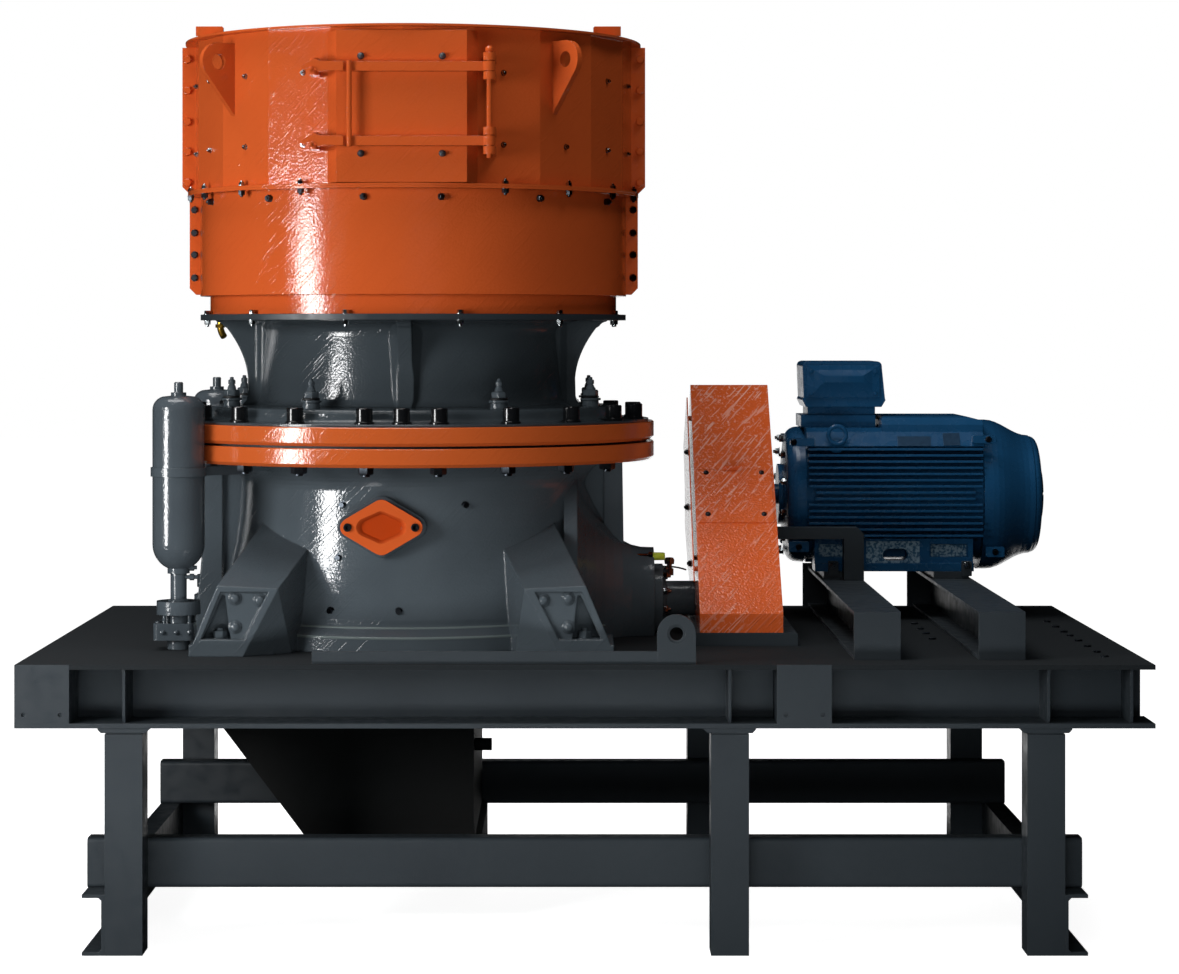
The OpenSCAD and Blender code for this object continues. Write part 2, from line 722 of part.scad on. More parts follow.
// Split ring round each bottle and its arm to the bottom shell
module accumulator_bracket() color(cast) at_accumulator() translate([0, 0, z_low_flange - 52])
    difference() {
        ring_h = 40;
        union() {
            cylinder(r = acc_r + 8, h = ring_h);
            block([-acc_d + 883.5, -20, 0], [-acc_r, 20, ring_h]);
            block([-30, -acc_r - 34, 0], [30, -acc_r, ring_h]);
        }
        translate([0, 0, -1]) cylinder(r = acc_r + fit, h = ring_h + 2);
        block([-2, -acc_r - 40, -1], [2, -acc_r + 10, ring_h + 1]);
    }

// ---------------------------------------------------------------- drive

// Side view of the belt guard: pinion sheave below, motor sheave above and behind
module guard() color(orange) {
    side_gap = 14;
    side_t = 6;
    plate_yz(guard_left, guard_w) polygon([
        [-guard_front, guard_low], [-guard_front, guard_lip], guard_peak,
        [motor_y - 121, z_motor + 239], [motor_y + 250, z_motor + 239], [motor_y + 250, z_motor - 180],
        [330, guard_low]]);
    plate_yz(guard_left - side_gap - side_t, side_t) polygon([
        [-guard_front + 200, z_pin + pinion_r + 30], [325, z_pin + pinion_r + 30],
        [motor_y - 89, z_motor + 241], guard_peak - [40, 60]]);
    for (p = [[-guard_front + 290, z_pin + 160], [230, z_pin + 170], guard_peak - [60, 160]])
        translate([guard_left - side_gap - 1, p[0], p[1]]) rod_x(12, side_gap + 2);
}

// Panel across the guard's sloping face with a turned-up lip
module guard_cover() color(orange) {
    tilt = atan2(guard_peak[1] - guard_lip, guard_peak[0] + guard_front);
    translate([guard_left, -guard_front, guard_lip]) rotate([tilt, 0, 0]) {
        block([12, 560, fit], [guard_w - 12, 900, 6]);
        block([137, 896, 6 - eps], [222, 900, 30]);
    }
}

// Closed plinth under the guard, bevelled along its top edges
module guard_base() color(steel) {
    bevel = 6;
    x0 = guard_left - 21;
    x1 = guard_left + guard_w + 66;
    top = guard_low;
    plate_xz(-guard_front, guard_front + 330) polygon([
        [x0, deck_z], [x1, deck_z], [x1, top - bevel], [x1 - bevel, top],
        [x0 + bevel, top], [x0, top - bevel]]);
}

// Bent arm from the guard to the left motor rail
module guard_arm() color(steel) {
    arm_h = 55;
    arm_d = 100;
    post_w = 99;
    x0 = guard_left + guard_w;
    x1 = motor_rail_x + motor_rail_w + 4;
    top = z_slide + 254;
    plate_xz(motor_y - 500, arm_d) polygon([
        [x0, top - arm_h], [x1 - post_w, top - arm_h], [x1 - post_w, z_slide], [x1 - 4, z_slide],
        [x1 - 4, top - 30], [x1 - 34, top], [x0, top]]);
}

// Broad-flanged beam along Y with an end plate at each end
module motor_rail(x) {
    flange = 15;
    web = 9;
    end_t = 15;
    w = motor_rail_w;
    h = motor_rail_h;
    front = 1166;
    translate([x, motor_rail_end, deck_z]) rotate([90, 0, 0]) linear_extrude(front + motor_rail_end)
        polygon([[0, 0], [w, 0], [w, flange], [(w + web) / 2, flange], [(w + web) / 2, h - flange],
            [w, h - flange], [w, h], [0, h], [0, h - flange], [(w - web) / 2, h - flange],
            [(w - web) / 2, flange], [0, flange]]);
    block([x, -front - end_t, deck_z], [x + w, -front + eps, deck_z + h]);
    block([x - 25, motor_rail_end - eps, deck_z], [x + w + 25, motor_rail_end + end_t, deck_z + h + 15]);
}

module motor_rail_left() color(steel) motor_rail(motor_rail_x);
module motor_rail_right() color(steel) motor_rail(motor_rail_x + motor_rail_pitch);

// Slide bars the motor is bolted to
module motor_base() color(steel) for (x = [motor_rail_x, motor_rail_x + motor_rail_pitch])
    block([x + 15, motor_y - 395, z_slide], [x + motor_rail_w - 15, motor_y + 395, z_slide + slide_h]);

// Ribbed cast frame with its foot pads; local axis along +X
module motor_frame() color(blue) translate([motor_x + frame_x, motor_y, z_motor]) {
    fin_t = 12;
    body_r = 322;
    reach = 368;
    top = 393;
    pad_top = -shaft_h + 157;
    rod_x(body_r, frame_l);
    plate_yz(0, frame_l) polygon([
        [-body_r + 20, 236], [-355, 250], [-300, bell_r - 18], [-255, bell_r],
        [255, bell_r], [300, bell_r - 18], [355, 250], [body_r - 20, 236]]);
    intersection() {
        plate_yz(0, frame_l) polygon([
            [-300, bell_r - 30], [-300, top - 40], [-262, top - 6], [-240, top],
            [240, top], [262, top - 6], [300, top - 40], [300, bell_r - 30]]);
        plate_xz(-400, 800) polygon([
            [366, 0], [366, top - 20], [372, top - 6], [386, top], [782, top], [frame_l, top - 20],
            [frame_l, 0]]);
    }
    for (i = [0 : 14]) {
        z = -190 + i * fin_pitch;
        short = i == 6 || i == 7;
        block([short ? 38 : 6, -reach, z], [frame_l - (short ? 45 : 8), reach, z + fin_t]);
    }
    front_and_rear() {
        block([34, -380, -shaft_h], [frame_l - 56, -220, -shaft_h + 38]);
        difference() {
            block([34, -350, -shaft_h], [frame_l - 56, -230, pad_top]);
            for (x = [[50, 260], [595, 779]])
                block([x[0], -351, -shaft_h + 67], [x[1], -330, -shaft_h + 130]);
            for (x = [395, 458]) translate([x, -420, -shaft_h + 79]) rod_y(29, 500);
            block([395, -420, -shaft_h + 50], [458, 80, -shaft_h + 108]);
        }
    }
    block([34, -240, -shaft_h + 60], [frame_l - 56, 240, -240]);
}

// Drive-end shield and shaft
module motor_drive_end() color(blue) translate([motor_x, motor_y, z_motor]) {
    shaft_r = 50;
    shaft_l = motor_x - guard_left - guard_w;
    rotate([0, 90, 0]) rotate_extrude() polygon([
        [0, 0], [150, 0], [150, 20], [bell_r - 60, 34], each arc(bell_r - 62, 94, 60, -80, 0, 5),
        [bell_r, frame_x], [0, frame_x]]);
    translate([-shaft_l + fit, 0, 0]) rod_x(shaft_r, shaft_l);
}

// Fan cowl, drawn in to a domed end
module motor_cowl() color(blue) translate([motor_x + frame_x + frame_l, motor_y, z_motor])
    rotate([0, 90, 0]) rotate_extrude() polygon([
        [0, 0], [shield_r, 0], [shield_r, 34],
        for (i = [0 : 8]) let (k = i / 8) [shield_r - 78 * (1 - cos(180 * k)) / 2, 44 + 215 * k],
        each arc(shield_r - 116, 262, 34, 0, 70, 4), [shield_r - 230, 316], [0, 322]]);

// Terminal box with a bevelled lid, on a neck that widens to a foot
module terminal_box() color(blue) translate([motor_x + 112, motor_y, z_motor + bell_r]) {
    base = 60;
    neck = 100;
    body = 324;
    l = 407;
    half_d = 195;
    block([-6, -170, fit], [366 - 6, 170, base]);
    block([28, -150, base - eps], [360, 150, neck + eps]);
    translate([0, half_d, 0]) rotate([90, 0, 0]) linear_extrude(2 * half_d) polygon([
        [16, neck], [l - 20, neck], [l, neck + 33], [l - 3, neck + 45], [l - 18, body - 30],
        each arc(l - 42, body - 24, 24, 0, 90, 4), each arc(24, body - 24, 24, 90, 180, 4),
        [6, neck + 45], [0, neck + 33]]);
}

deck_plate();
girder_front();
girder_rear();
cross_beam_left();
cross_beam_middle();
cross_beam_right();
crusher_bearers();
legs_front();
legs_rear();
rail_front();
rail_rear();
sill_left();
sill_right();
chute();
base_bar();
bottom_shell();
inspection_cover();
lower_flange();
upper_flange();
top_shell();
spider();
spider_cap();
concave();
mantle();
pinion_housing();
hopper_plate();
hopper_ring();
hopper_lower();
hopper_upper();
door();
hinge_pin();
accumulator_front();
accumulator_rear();
accumulator_valves();
accumulator_bracket();
guard();
guard_cover();
guard_base();
guard_arm();
motor_rail_left();
motor_rail_right();
motor_base();
motor_frame();
motor_drive_end();
motor_cowl();
terminal_box();
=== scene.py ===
import math

import bmesh
import bpy
from mathutils import Matrix, Vector


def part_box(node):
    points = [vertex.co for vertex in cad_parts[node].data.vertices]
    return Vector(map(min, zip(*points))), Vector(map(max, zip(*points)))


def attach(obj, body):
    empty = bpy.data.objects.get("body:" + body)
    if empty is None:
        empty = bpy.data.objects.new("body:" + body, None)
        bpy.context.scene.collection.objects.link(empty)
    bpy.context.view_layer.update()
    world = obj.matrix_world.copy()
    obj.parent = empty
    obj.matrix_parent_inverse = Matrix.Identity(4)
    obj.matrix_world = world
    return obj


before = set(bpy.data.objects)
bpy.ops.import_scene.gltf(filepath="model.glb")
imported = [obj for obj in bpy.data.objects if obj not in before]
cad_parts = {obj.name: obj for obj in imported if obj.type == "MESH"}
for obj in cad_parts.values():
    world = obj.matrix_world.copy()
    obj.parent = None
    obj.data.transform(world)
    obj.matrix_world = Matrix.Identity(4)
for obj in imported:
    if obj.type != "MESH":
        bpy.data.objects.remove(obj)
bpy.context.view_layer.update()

# ------------------------------------------------------------ where it is seen from
# A long lens 14 m in front of the plant, level with the foot of its feed hopper, so
# that uprights stay upright and the deck's top shows as a thin line.

eye_lens = bpy.data.cameras.new("eye")
eye_lens.sensor_width = 36
eye_lens.lens = 92.55
eye_lens.shift_x = 0.0162
eye_lens.shift_y = -0.1322
eye_lens.clip_end = 200
eye = bpy.data.objects.new("eye", eye_lens)
eye.location = (-0.061, -14.125, 2.629)
eye.rotation_euler = (math.pi / 2, 0, 0)
bpy.context.collection.objects.link(eye)
bpy.context.scene.camera = eye
bpy.context.scene.view_settings.view_transform = "Standard"

# ------------------------------------------------------------ welded stand
# Plate girders, square legs and hollow rails, shot-blasted, welded and sprayed with
# anthracite two-part enamel that dries to a satin skin. Its orange peel is drawn a
# little coarser than it is, at 9 mm, so that it shows.

def linear(code):
    """An sRGB hex colour as the linear colour that a shader takes."""
    parts = [int(code[i:i + 2], 16) / 255 for i in (1, 3, 5)]
    return [p / 12.92 if p <= 0.04045 else ((p + 0.055) / 1.055) ** 2.4 for p in parts] + [1]


# Some sockets share a name, so they go by number: a Math node's values are 0 and 1, and a
# Mix node's factor, its two colours and its result are these.
mix_by, mix_from, mix_to, mixed = 0, 6, 7, 2


def add(tree, kind, sockets=(), **settings):
    """Adds one node. sockets maps inputs to values, or to the outputs that feed them."""
    node = tree.nodes.new(kind)
    for key, value in settings.items():
        setattr(node, key, value)
    for key, value in dict(sockets).items():
        if isinstance(value, bpy.types.NodeSocket):
            tree.links.new(value, node.inputs[key])
        else:
            node.inputs[key].default_value = value
    return node


def surface(name, **sockets):
    """A new material: its tree, and the shader that goes to its output."""
    finish = bpy.data.materials.new(name)
    finish.use_nodes = True
    tree = finish.node_tree
    tree.nodes.clear()
    shader = add(tree, "ShaderNodeBsdfPrincipled", sockets)
    add(tree, "ShaderNodeOutputMaterial", {"Surface": shader.outputs[0]})
    place = add(tree, "ShaderNodeTexCoord").outputs["Object"]
    return finish, tree, shader, place


def per(mm):
    """Texture scale that gives one grain of the pattern every so many millimetres."""
    return 1000 / mm


def coat(finish, *names):
    """Puts a finish on CAD nodes."""
    for name in names:
        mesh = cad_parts[name].data
        mesh.materials.clear()
        mesh.materials.append(finish)


def enamel(name, light, dark, gloss, peel, cloud=420, edge=0.003):
    """Sprayed enamel: cloudy colour, uneven gloss, peel, and edges the paint rounds off."""
    finish, tree, shader, place = surface(name, Roughness=gloss)
    cloudy = add(tree, "ShaderNodeTexNoise", {"Vector": place, "Scale": per(cloud), "Detail": 4})
    tint = add(tree, "ShaderNodeMix", {mix_by: cloudy.outputs["Fac"], mix_from: linear(dark),
        mix_to: linear(light)}, data_type="RGBA")
    smears = add(tree, "ShaderNodeTexNoise", {"Vector": place, "Scale": per(60), "Detail": 3})
    dull = add(tree, "ShaderNodeMapRange", {"Value": smears.outputs["Fac"], "From Min": 0.3,
        "From Max": 0.7, "To Min": gloss * 0.8, "To Max": gloss * 1.3})
    skin = add(tree, "ShaderNodeTexNoise", {"Vector": place, "Scale": per(9), "Detail": 2})
    rounded = add(tree, "ShaderNodeBevel", {"Radius": edge}, samples=4)
    bumps = add(tree, "ShaderNodeBump", {"Height": skin.outputs["Fac"], "Strength": peel,
        "Distance": 0.001, "Normal": rounded.outputs[0]})
    tree.links.new(tint.outputs[mixed], shader.inputs["Base Color"])
    tree.links.new(dull.outputs[0], shader.inputs["Roughness"])
    tree.links.new(bumps.outputs[0], shader.inputs["Normal"])
    return finish, tree, shader, place, bumps


satin_enamel = enamel("satin_enamel", "#343b40", "#2b3136", 0.42, 0.25)[0]
coat(satin_enamel, "girder_front", "girder_rear", "cross_beam_left", "cross_beam_middle",
    "cross_beam_right", "crusher_bearers", "legs_front", "legs_rear", "rail_front", "rail_rear",
    "sill_left", "sill_right", "base_bar")

# ------------------------------------------------------------ deck plate
# Steel plate laid on the girders and rolled with a matt anti-slip coat full of sand, so
# it stays nearly black even where the light grazes it. The grit is drawn at 6 mm, much
# coarser than it is, so that it shows.

sand_coat, tree, shader, place = surface("sand_coat", Roughness=0.85)
shader.inputs["Specular IOR Level"].default_value = 0.15
grit = add(tree, "ShaderNodeTexNoise", {"Vector": place, "Scale": per(6), "Detail": 3})
worn = add(tree, "ShaderNodeMix", {mix_by: grit.outputs["Fac"], mix_from: linear("#15181a"),
    mix_to: linear("#2c3033")}, data_type="RGBA")
rough = add(tree, "ShaderNodeBump", {"Height": grit.outputs["Fac"], "Strength": 0.5,
    "Distance": 0.001})
tree.links.new(worn.outputs[mixed], shader.inputs["Base Color"])
tree.links.new(rough.outputs[0], shader.inputs["Normal"])
coat(sand_coat, "deck_plate")

# ------------------------------------------------------------ deck bolts
# Hexagon screws, blacked and oiled so that they glint dully, which hold the deck plate to
# the beams in two rows across it on the motor's side.

black_oxide, tree, shader, place = surface("black_oxide", Metallic=1, Roughness=0.42)
oil = add(tree, "ShaderNodeTexNoise", {"Vector": place, "Scale": per(14), "Detail": 2})
bluing = add(tree, "ShaderNodeMix", {mix_by: oil.outputs["Fac"], mix_from: linear("#3a3f45"),
    mix_to: linear("#60676f")}, data_type="RGBA")
tree.links.new(bluing.outputs[mixed], shader.inputs["Base Color"])


def turned(form, outline, sides=24, turn=0, at=Matrix()):
    """Adds the outline's (radius, height) points, turned round Z with that many sides."""
    rings = []
    for radius, height in outline:
        if radius == 0:
            rings.append([form.verts.new(at @ Vector((0, 0, height)))])
            continue
        angles = [turn + 2 * math.pi * i / sides for i in range(sides)]
        rings.append([form.verts.new(at @ Vector((radius * math.cos(a), radius * math.sin(a),
            height))) for a in angles])
    for low, high in zip(rings, rings[1:]):
        for i in range(sides):
            j = (i + 1) % sides
            if len(low) == 1:
                form.faces.new((low[0], high[j], high[i]))
            elif len(high) == 1:
                form.faces.new((low[i], low[j], high[0]))
            else:
                form.faces.new((low[i], low[j], high[j], high[i]))


def hexagon(across, height, washer=0, stud=0):
    """A chamfered hexagon head or nut on a washer, with the stud's end standing out of it."""
    form = bmesh.new()
    corner = across / math.sqrt(3)
    base = 0.12 * height if washer else 0
    if washer:
        turned(form, [(0, 0), (washer, 0), (washer, base * 0.7), (washer * 0.96, base), (0, base)])
    turned(form, [(0, base), (corner, base), (corner, base + height * 0.82),
        (corner * 0.88, base + height), (0, base + height)], 6)
    if stud:
        r = across * 0.29
        turned(form, [(0, base), (r, base), (r, base + height + stud * 0.8),
            (r * 0.8, base + height + stud), (0, base + height + stud)], 16)
    return form


def fasten(name, form, places, finish, body="root"):
    """One piece made of copies of a form, each standing on a point and facing a direction.

    Each copy is turned a little further than the last, as tightened screws are.
    """
    bmesh.ops.recalc_face_normals(form, faces=form.faces)
    one = bpy.data.meshes.new(name)
    form.to_mesh(one)
    form.free()
    many = bmesh.new()
    for number, (point, way) in enumerate(places):
        start = len(many.verts)
        many.from_mesh(one)
        many.verts.ensure_lookup_table()
        spin = Matrix.Rotation(number * 0.37, 4, "Z")
        facing = Vector(way).to_track_quat("Z", "Y").to_matrix().to_4x4()
        bmesh.ops.transform(many, matrix=Matrix.Translation(point) @ facing @ spin,
            verts=many.verts[start:])
    return mount(name, many, finish, body)


def mount(name, form, finish, body="root", smooth=35):
    """Turns a form into a piece with its finish, and fixes it to a body of the frame."""
    mesh = bpy.data.meshes.new(name)
    form.to_mesh(mesh)
    form.free()
    mesh.materials.append(finish)
    piece = bpy.data.objects.new(name, mesh)
    bpy.context.collection.objects.link(piece)
    mesh.shade_smooth()
    mesh.set_sharp_from_angle(angle=math.radians(smooth))
    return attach(piece, body)


up = (0, 0, 1)
deck_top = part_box("deck_plate")[1].z
deck_rows = [(1.588, y) for y in (0.4, 0.15, -0.073, -0.316)]
deck_rows += [(2.24, y) for y in (0.5, 0.247, 0.005, -0.166, -0.398, -0.639, -0.881, -1.066)]
fasten("deck_bolts", hexagon(0.03, 0.007, 0.019),
    [((x, y, deck_top), up) for x, y in deck_rows], black_oxide)

# ------------------------------------------------------------ chute
# Folded plate chute under the crusher, brushed with thick matt rubber paint inside and out,
# so it drinks the light; its black is drawn darker still as painted shade under the deck.

rubber_paint, tree, shader, place = surface("rubber_paint", Roughness=0.7)
daubs = add(tree, "ShaderNodeTexNoise", {"Vector": place, "Scale": per(45), "Detail": 4})
# Painted shade in part: the black is darker than the rubber paint itself.
daubs_and_shade = add(tree, "ShaderNodeMix", {mix_by: daubs.outputs["Fac"], mix_from: linear("#030404"),
    mix_to: linear("#090b0c")}, data_type="RGBA")
brush = add(tree, "ShaderNodeBump", {"Height": daubs.outputs["Fac"], "Strength": 0.3,
    "Distance": 0.002})
tree.links.new(daubs_and_shade.outputs[mixed], shader.inputs["Base Color"])
tree.links.new(brush.outputs[0], shader.inputs["Normal"])
coat(rubber_paint, "chute")

# ------------------------------------------------------------ bottom shell
# Steel casting with four feet, fettled and brushed with grey gloss paint. Over the
# sand-cast skin a highlight breaks into small lumps, with slanting hairs of the brush.

def brush_marks(tree, shader, place, below, pebbles, hairs):
    """Marks in thick gloss paint: pebbles, and hairs of the brush that slant up.

    Both are drawn coarser than they are, at 10 and 8 mm, so that they show.
    """
    grain = add(tree, "ShaderNodeTexNoise", {"Vector": place, "Scale": per(10), "Detail": 1})
    pebbled = add(tree, "ShaderNodeBump", {"Height": grain.outputs["Fac"], "Strength": pebbles,
        "Distance": 0.0015, "Normal": below.outputs[0]})
    lap = add(tree, "ShaderNodeMapping", {"Vector": place, "Rotation": (0, -0.8, 0),
        "Scale": (28, 10, 1)}, vector_type="TEXTURE")
    strokes = add(tree, "ShaderNodeTexNoise", {"Vector": lap.outputs[0], "Scale": per(8),
        "Detail": 0})
    ridges = add(tree, "ShaderNodeMapRange", {"Value": strokes.outputs["Fac"], "From Min": 0.62,
        "From Max": 0.69})
    brushed = add(tree, "ShaderNodeBump", {"Height": ridges.outputs[0], "Strength": hairs,
        "Distance": 0.001, "Normal": pebbled.outputs[0]})
    tree.links.new(brushed.outputs[0], shader.inputs["Normal"])
    return ridges


cast_paint, tree, shader, place, skin = enamel("cast_paint", "#525b61", "#454d53", 0.1, 0.03,
    260, 0.012)
brush_marks(tree, shader, place, skin, 0.6, 0.5)
coat(cast_paint, "bottom_shell")

axis = (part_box("upper_flange")[0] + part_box("upper_flange")[1]) / 2


def round_about(degrees, radius, z):
    """A point about the crusher's axis: 0 is the front, positive turns towards the motor."""
    a = math.radians(degrees)
    return Vector((axis.x + radius * math.sin(a), -radius * math.cos(a), z))


def outward(degrees):
    """The direction away from the crusher's axis at that angle."""
    return Vector((math.sin(math.radians(degrees)), -math.cos(math.radians(degrees)), 0))


waist_r = 0.795
waist_z = deck_top + 0.7


def shell_radius(z):
    """Radius of the waisted bottom shell at a height."""
    if z <= waist_z:
        return waist_r + 0.1 * ((waist_z - z) / 0.56) ** 2
    return waist_r + 0.11 * ((z - waist_z) / 0.115) ** 2


shell_screws = [(-20.3, 1.862), (19.4, 1.861), (-20.8, 1.631), (-21.6, 1.402), (-1.4, 1.404)]
fasten("shell_screws", hexagon(0.024, 0.016, 0.018),
    [(round_about(a + side, shell_radius(z) - 0.002, z), outward(a + side))
        for a, z in shell_screws for side in (0, 180)], black_oxide)

# ------------------------------------------------------------ ledge beads
# Rounded edges along the two ledges at the bottom shell's foot, turned with the casting;
# their paint is made paler along the ledges as a painted highlight.

# Painted highlight: a paler copy of the casting's grey.
ledge_highlight_paint = enamel("ledge_highlight_paint", "#717c7c", "#667171", 0.1, 0.03, 260)[0]
bead_r = 0.0075
weld_gap = 0.0001
beads = bmesh.new()
for rim, z in ((0.9445, 0.066), (0.899, 0.105)):
    turned(beads, [(rim + bead_r * math.cos(a), z + bead_r * math.sin(a))
        for a in (2 * math.pi * i / 12 for i in range(13))], 180)
bmesh.ops.remove_doubles(beads, verts=beads.verts, dist=weld_gap)
fasten("ledge_beads", beads, [((axis.x, 0, deck_top), up)], ledge_highlight_paint)

# ------------------------------------------------------------ inspection cover
# Orange cast cover over a hand hole in the shell, with a socket screw at each end. Its
# gloss topcoat is brushed on, so highlights break into leathery lumps and slanting
# hairs. Its colour darkens towards the floor of the hollow as painted shade.

orange_gloss, tree, shader, place, skin = enamel("orange_gloss", "#da622d", "#cd5828", 0.09, 0.03)
brush_marks(tree, shader, place, skin, 0.65, 0.5)

hollow_gloss, tree, shader, place = enamel("hollow_gloss", "#da622d", "#cd5828", 0.12,
    0.03)[:4]
rim_y, floor_y = -0.882, -0.862
depth = add(tree, "ShaderNodeSeparateXYZ", {"Vector": place})
inside = add(tree, "ShaderNodeMapRange", {"Value": depth.outputs["Y"], "From Min": rim_y,
    "From Max": floor_y})
# Painted shade: the orange is mixed towards a deep red-brown towards the floor of the hollow.
hollow_painted_shade = add(tree, "ShaderNodeMix", {mix_by: inside.outputs[0],
    mix_from: shader.inputs["Base Color"].links[0].from_socket, mix_to: linear("#b23f14")},
    data_type="RGBA")
tree.links.new(hollow_painted_shade.outputs[mixed], shader.inputs["Base Color"])
coat(hollow_gloss, "inspection_cover")


def socket_screw(head, height, key):
    """A round screw head with a hexagon socket sunk in its top."""
    form = bmesh.new()
    edge = head * 0.1
    turned(form, [(0, 0), (head, 0), (head, height - edge), (head - edge, height),
        (key * 1.1, height), (key * 1.1, height - edge)])
    turned(form, [(key * 1.1, height - edge), (key, height - edge * 1.5), (key, height * 0.45),
        (0, height * 0.45)], 6)
    return form


front = (0, -1, 0)
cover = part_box("inspection_cover")
cover_mid = (cover[0] + cover[1]) / 2
fasten("cover_screws", socket_screw(0.018, 0.012, 0.009),
    [((cover_mid.x + dx, cover[0].y, cover_mid.z), front) for dx in (-0.148, 0.148)],
    black_oxide)

# ------------------------------------------------------------ foot bolts
# Each foot has a set-back panel tied to the casting's ribs by three domed bolts, and a
# nut in its pocket holds it down; all are painted over with the casting.

foot_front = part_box("bottom_shell")[0].y + 0.018
domed = bmesh.new()
turned(domed, [(0, 0), (0.03, 0), (0.03, 0.004), (0.021, 0.006), (0.02, 0.014), (0.015, 0.02),
    (0.006, 0.023), (0, 0.0235)])
fasten("foot_bolts", domed, [((axis.x + sx * x, sy * -foot_front, z), (0, sy, 0))
    for sx in (-1, 1) for sy in (-1, 1)
    for x, z in ((0.719, 1.475), (0.612, 1.467), (0.719, 1.352))], cast_paint)

holding_nuts = [((axis.x + sx * 0.79, sy * -(foot_front + 0.05), deck_top + 0.074), up)
    for sx in (-1, 1) for sy in (-1, 1)]
fasten("holding_nuts", hexagon(0.055, 0.03, 0.038, 0.012), holding_nuts, cast_paint)

# ------------------------------------------------------------ pinion housing
# Cast collar bolted to the shell with zinc-plated studs, whose plating shows a faint
# spangle; above it a breather, and an oil pipe closed by a moulded cap of lime plastic
# that has gone chalky.

coat(cast_paint, "pinion_housing")
zinc_plate, tree, shader, place = surface("zinc_plate", Metallic=1, Roughness=0.25)
spangle = add(tree, "ShaderNodeTexNoise", {"Vector": place, "Scale": per(8), "Detail": 2})
silver = add(tree, "ShaderNodeMix", {mix_by: spangle.outputs["Fac"], mix_from: linear("#9aa3a8"),
    mix_to: linear("#d2d8da")}, data_type="RGBA")
tree.links.new(silver.outputs[mixed], shader.inputs["Base Color"])

right = (1, 0, 0)
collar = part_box("pinion_housing")
shaft_z = (collar[0].z + collar[1].z) / 2
collar_face = axis.x + 1.158
stud_r = 0.135
fasten("collar_studs", hexagon(0.03, 0.02, 0.02, 0.014),
    [((collar_face, stud_r * math.sin(a), shaft_z + stud_r * math.cos(a)), right)
        for a in (2 * math.pi * i / 10 for i in range(10))], zinc_plate)


def wrap(form, rings):
    """Joins rings of points with faces, each to the next, and closes both ends."""
    rings = [[form.verts.new(point) for point in ring] for ring in rings]
    for low, high in zip(rings, rings[1:]):
        for i in range(len(low)):
            j = (i + 1) % len(low)
            form.faces.new((low[i], low[j], high[j], high[i]))
    form.faces.new(rings[0][::-1])
    form.faces.new(rings[-1])


def pipe(form, points, radius, sides=14):
    """Adds a round tube that runs through the points, closed at both ends."""
    points = [Vector(p) for p in points]
    angles = [2 * math.pi * k / sides for k in range(sides)]
    rings = []
    for i, point in enumerate(points):
        before = points[max(i - 1, 0)]
        after = points[min(i + 1, len(points) - 1)]
        facing = (after - before).to_track_quat("Z", "Y")
        rings.append([point + facing @ Vector((radius * math.cos(a), radius * math.sin(a), 0))
            for a in angles])
    wrap(form, rings)


def bend(start, corner, end, steps=8):
    """Points of a smooth bend from start to end round a corner."""
    start, corner, end = Vector(start), Vector(corner), Vector(end)
    return [start.lerp(corner, k / steps).lerp(corner.lerp(end, k / steps), k / steps)
        for k in range(steps + 1)]


def turned_right(x, y, z):
    """Where a form stands that points to the right from (x, y, z)."""
    return Matrix.Translation((x, y, z)) @ Matrix.Rotation(math.pi / 2, 4, "Y")


oil_y = -0.11
oil_z = shaft_z + 0.202
oil_mouth_x = 0.32
oil_pipe = bmesh.new()
pipe(oil_pipe, [(0.18, oil_y, oil_z), (oil_mouth_x, oil_y, oil_z)], 0.013)
turned(oil_pipe, [(0, 0), (0.02, 0), (0.02, 0.018), (0, 0.018)], 6,
    at=turned_right(0.3, oil_y, oil_z))
mount("oil_pipe", oil_pipe, zinc_plate)

cap_plastic, tree, shader, place = surface("cap_plastic", Roughness=0.35)
chalky = add(tree, "ShaderNodeTexNoise", {"Vector": place, "Scale": per(20)})
lime = add(tree, "ShaderNodeMix", {mix_by: chalky.outputs["Fac"], mix_from: linear("#a9b822"),
    mix_to: linear("#cfd84a")}, data_type="RGBA")
tree.links.new(lime.outputs[mixed], shader.inputs["Base Color"])
oil_cap = bmesh.new()
turned(oil_cap, [(0, 0), (0.018, 0), (0.019, 0.004), (0.018, 0.05), (0.015, 0.056), (0, 0.057)],
    20, at=turned_right(oil_mouth_x, oil_y, oil_z))
mount("oil_cap", oil_cap, cap_plastic)

breather = bmesh.new()
breather_x = 0.4
breather_z = shaft_z + 0.106
turned(breather, [(0, 0), (0.02, 0), (0.02, 0.03), (0.012, 0.034), (0.012, 0.05), (0.022, 0.052),
    (0.024, 0.07), (0.018, 0.082), (0, 0.084)], 20,
    at=Matrix.Translation((breather_x, 0, breather_z)))
pipe(breather, bend((breather_x, 0, breather_z + 0.04), (0.44, -0.02, breather_z + 0.04),
    (0.475, -0.06, breather_z + 0.03)), 0.004)
mount("breather", breather, zinc_plate)

# ------------------------------------------------------------ main flanges
# Two turned rings clamp the shells together, brushed orange like the cover but darkened
# as painted shade. Gloss-black socket screws stand round the upper one, with blacked nuts
# under the lower, and a dull rubber seal fills the gap.

# A darker copy of the orange gloss: painted shade.
shaded_flange_gloss, tree, shader, place, skin = enamel("shaded_flange_gloss", "#c85e2b", "#bd5627", 0.09, 0.03)
brush_marks(tree, shader, place, skin, 0.65, 0.5)
coat(shaded_flange_gloss, "lower_flange", "upper_flange")
black_enamel = enamel("black_enamel", "#17191b", "#0d0e10", 0.16, 0.1, 60, 0.004)[0]

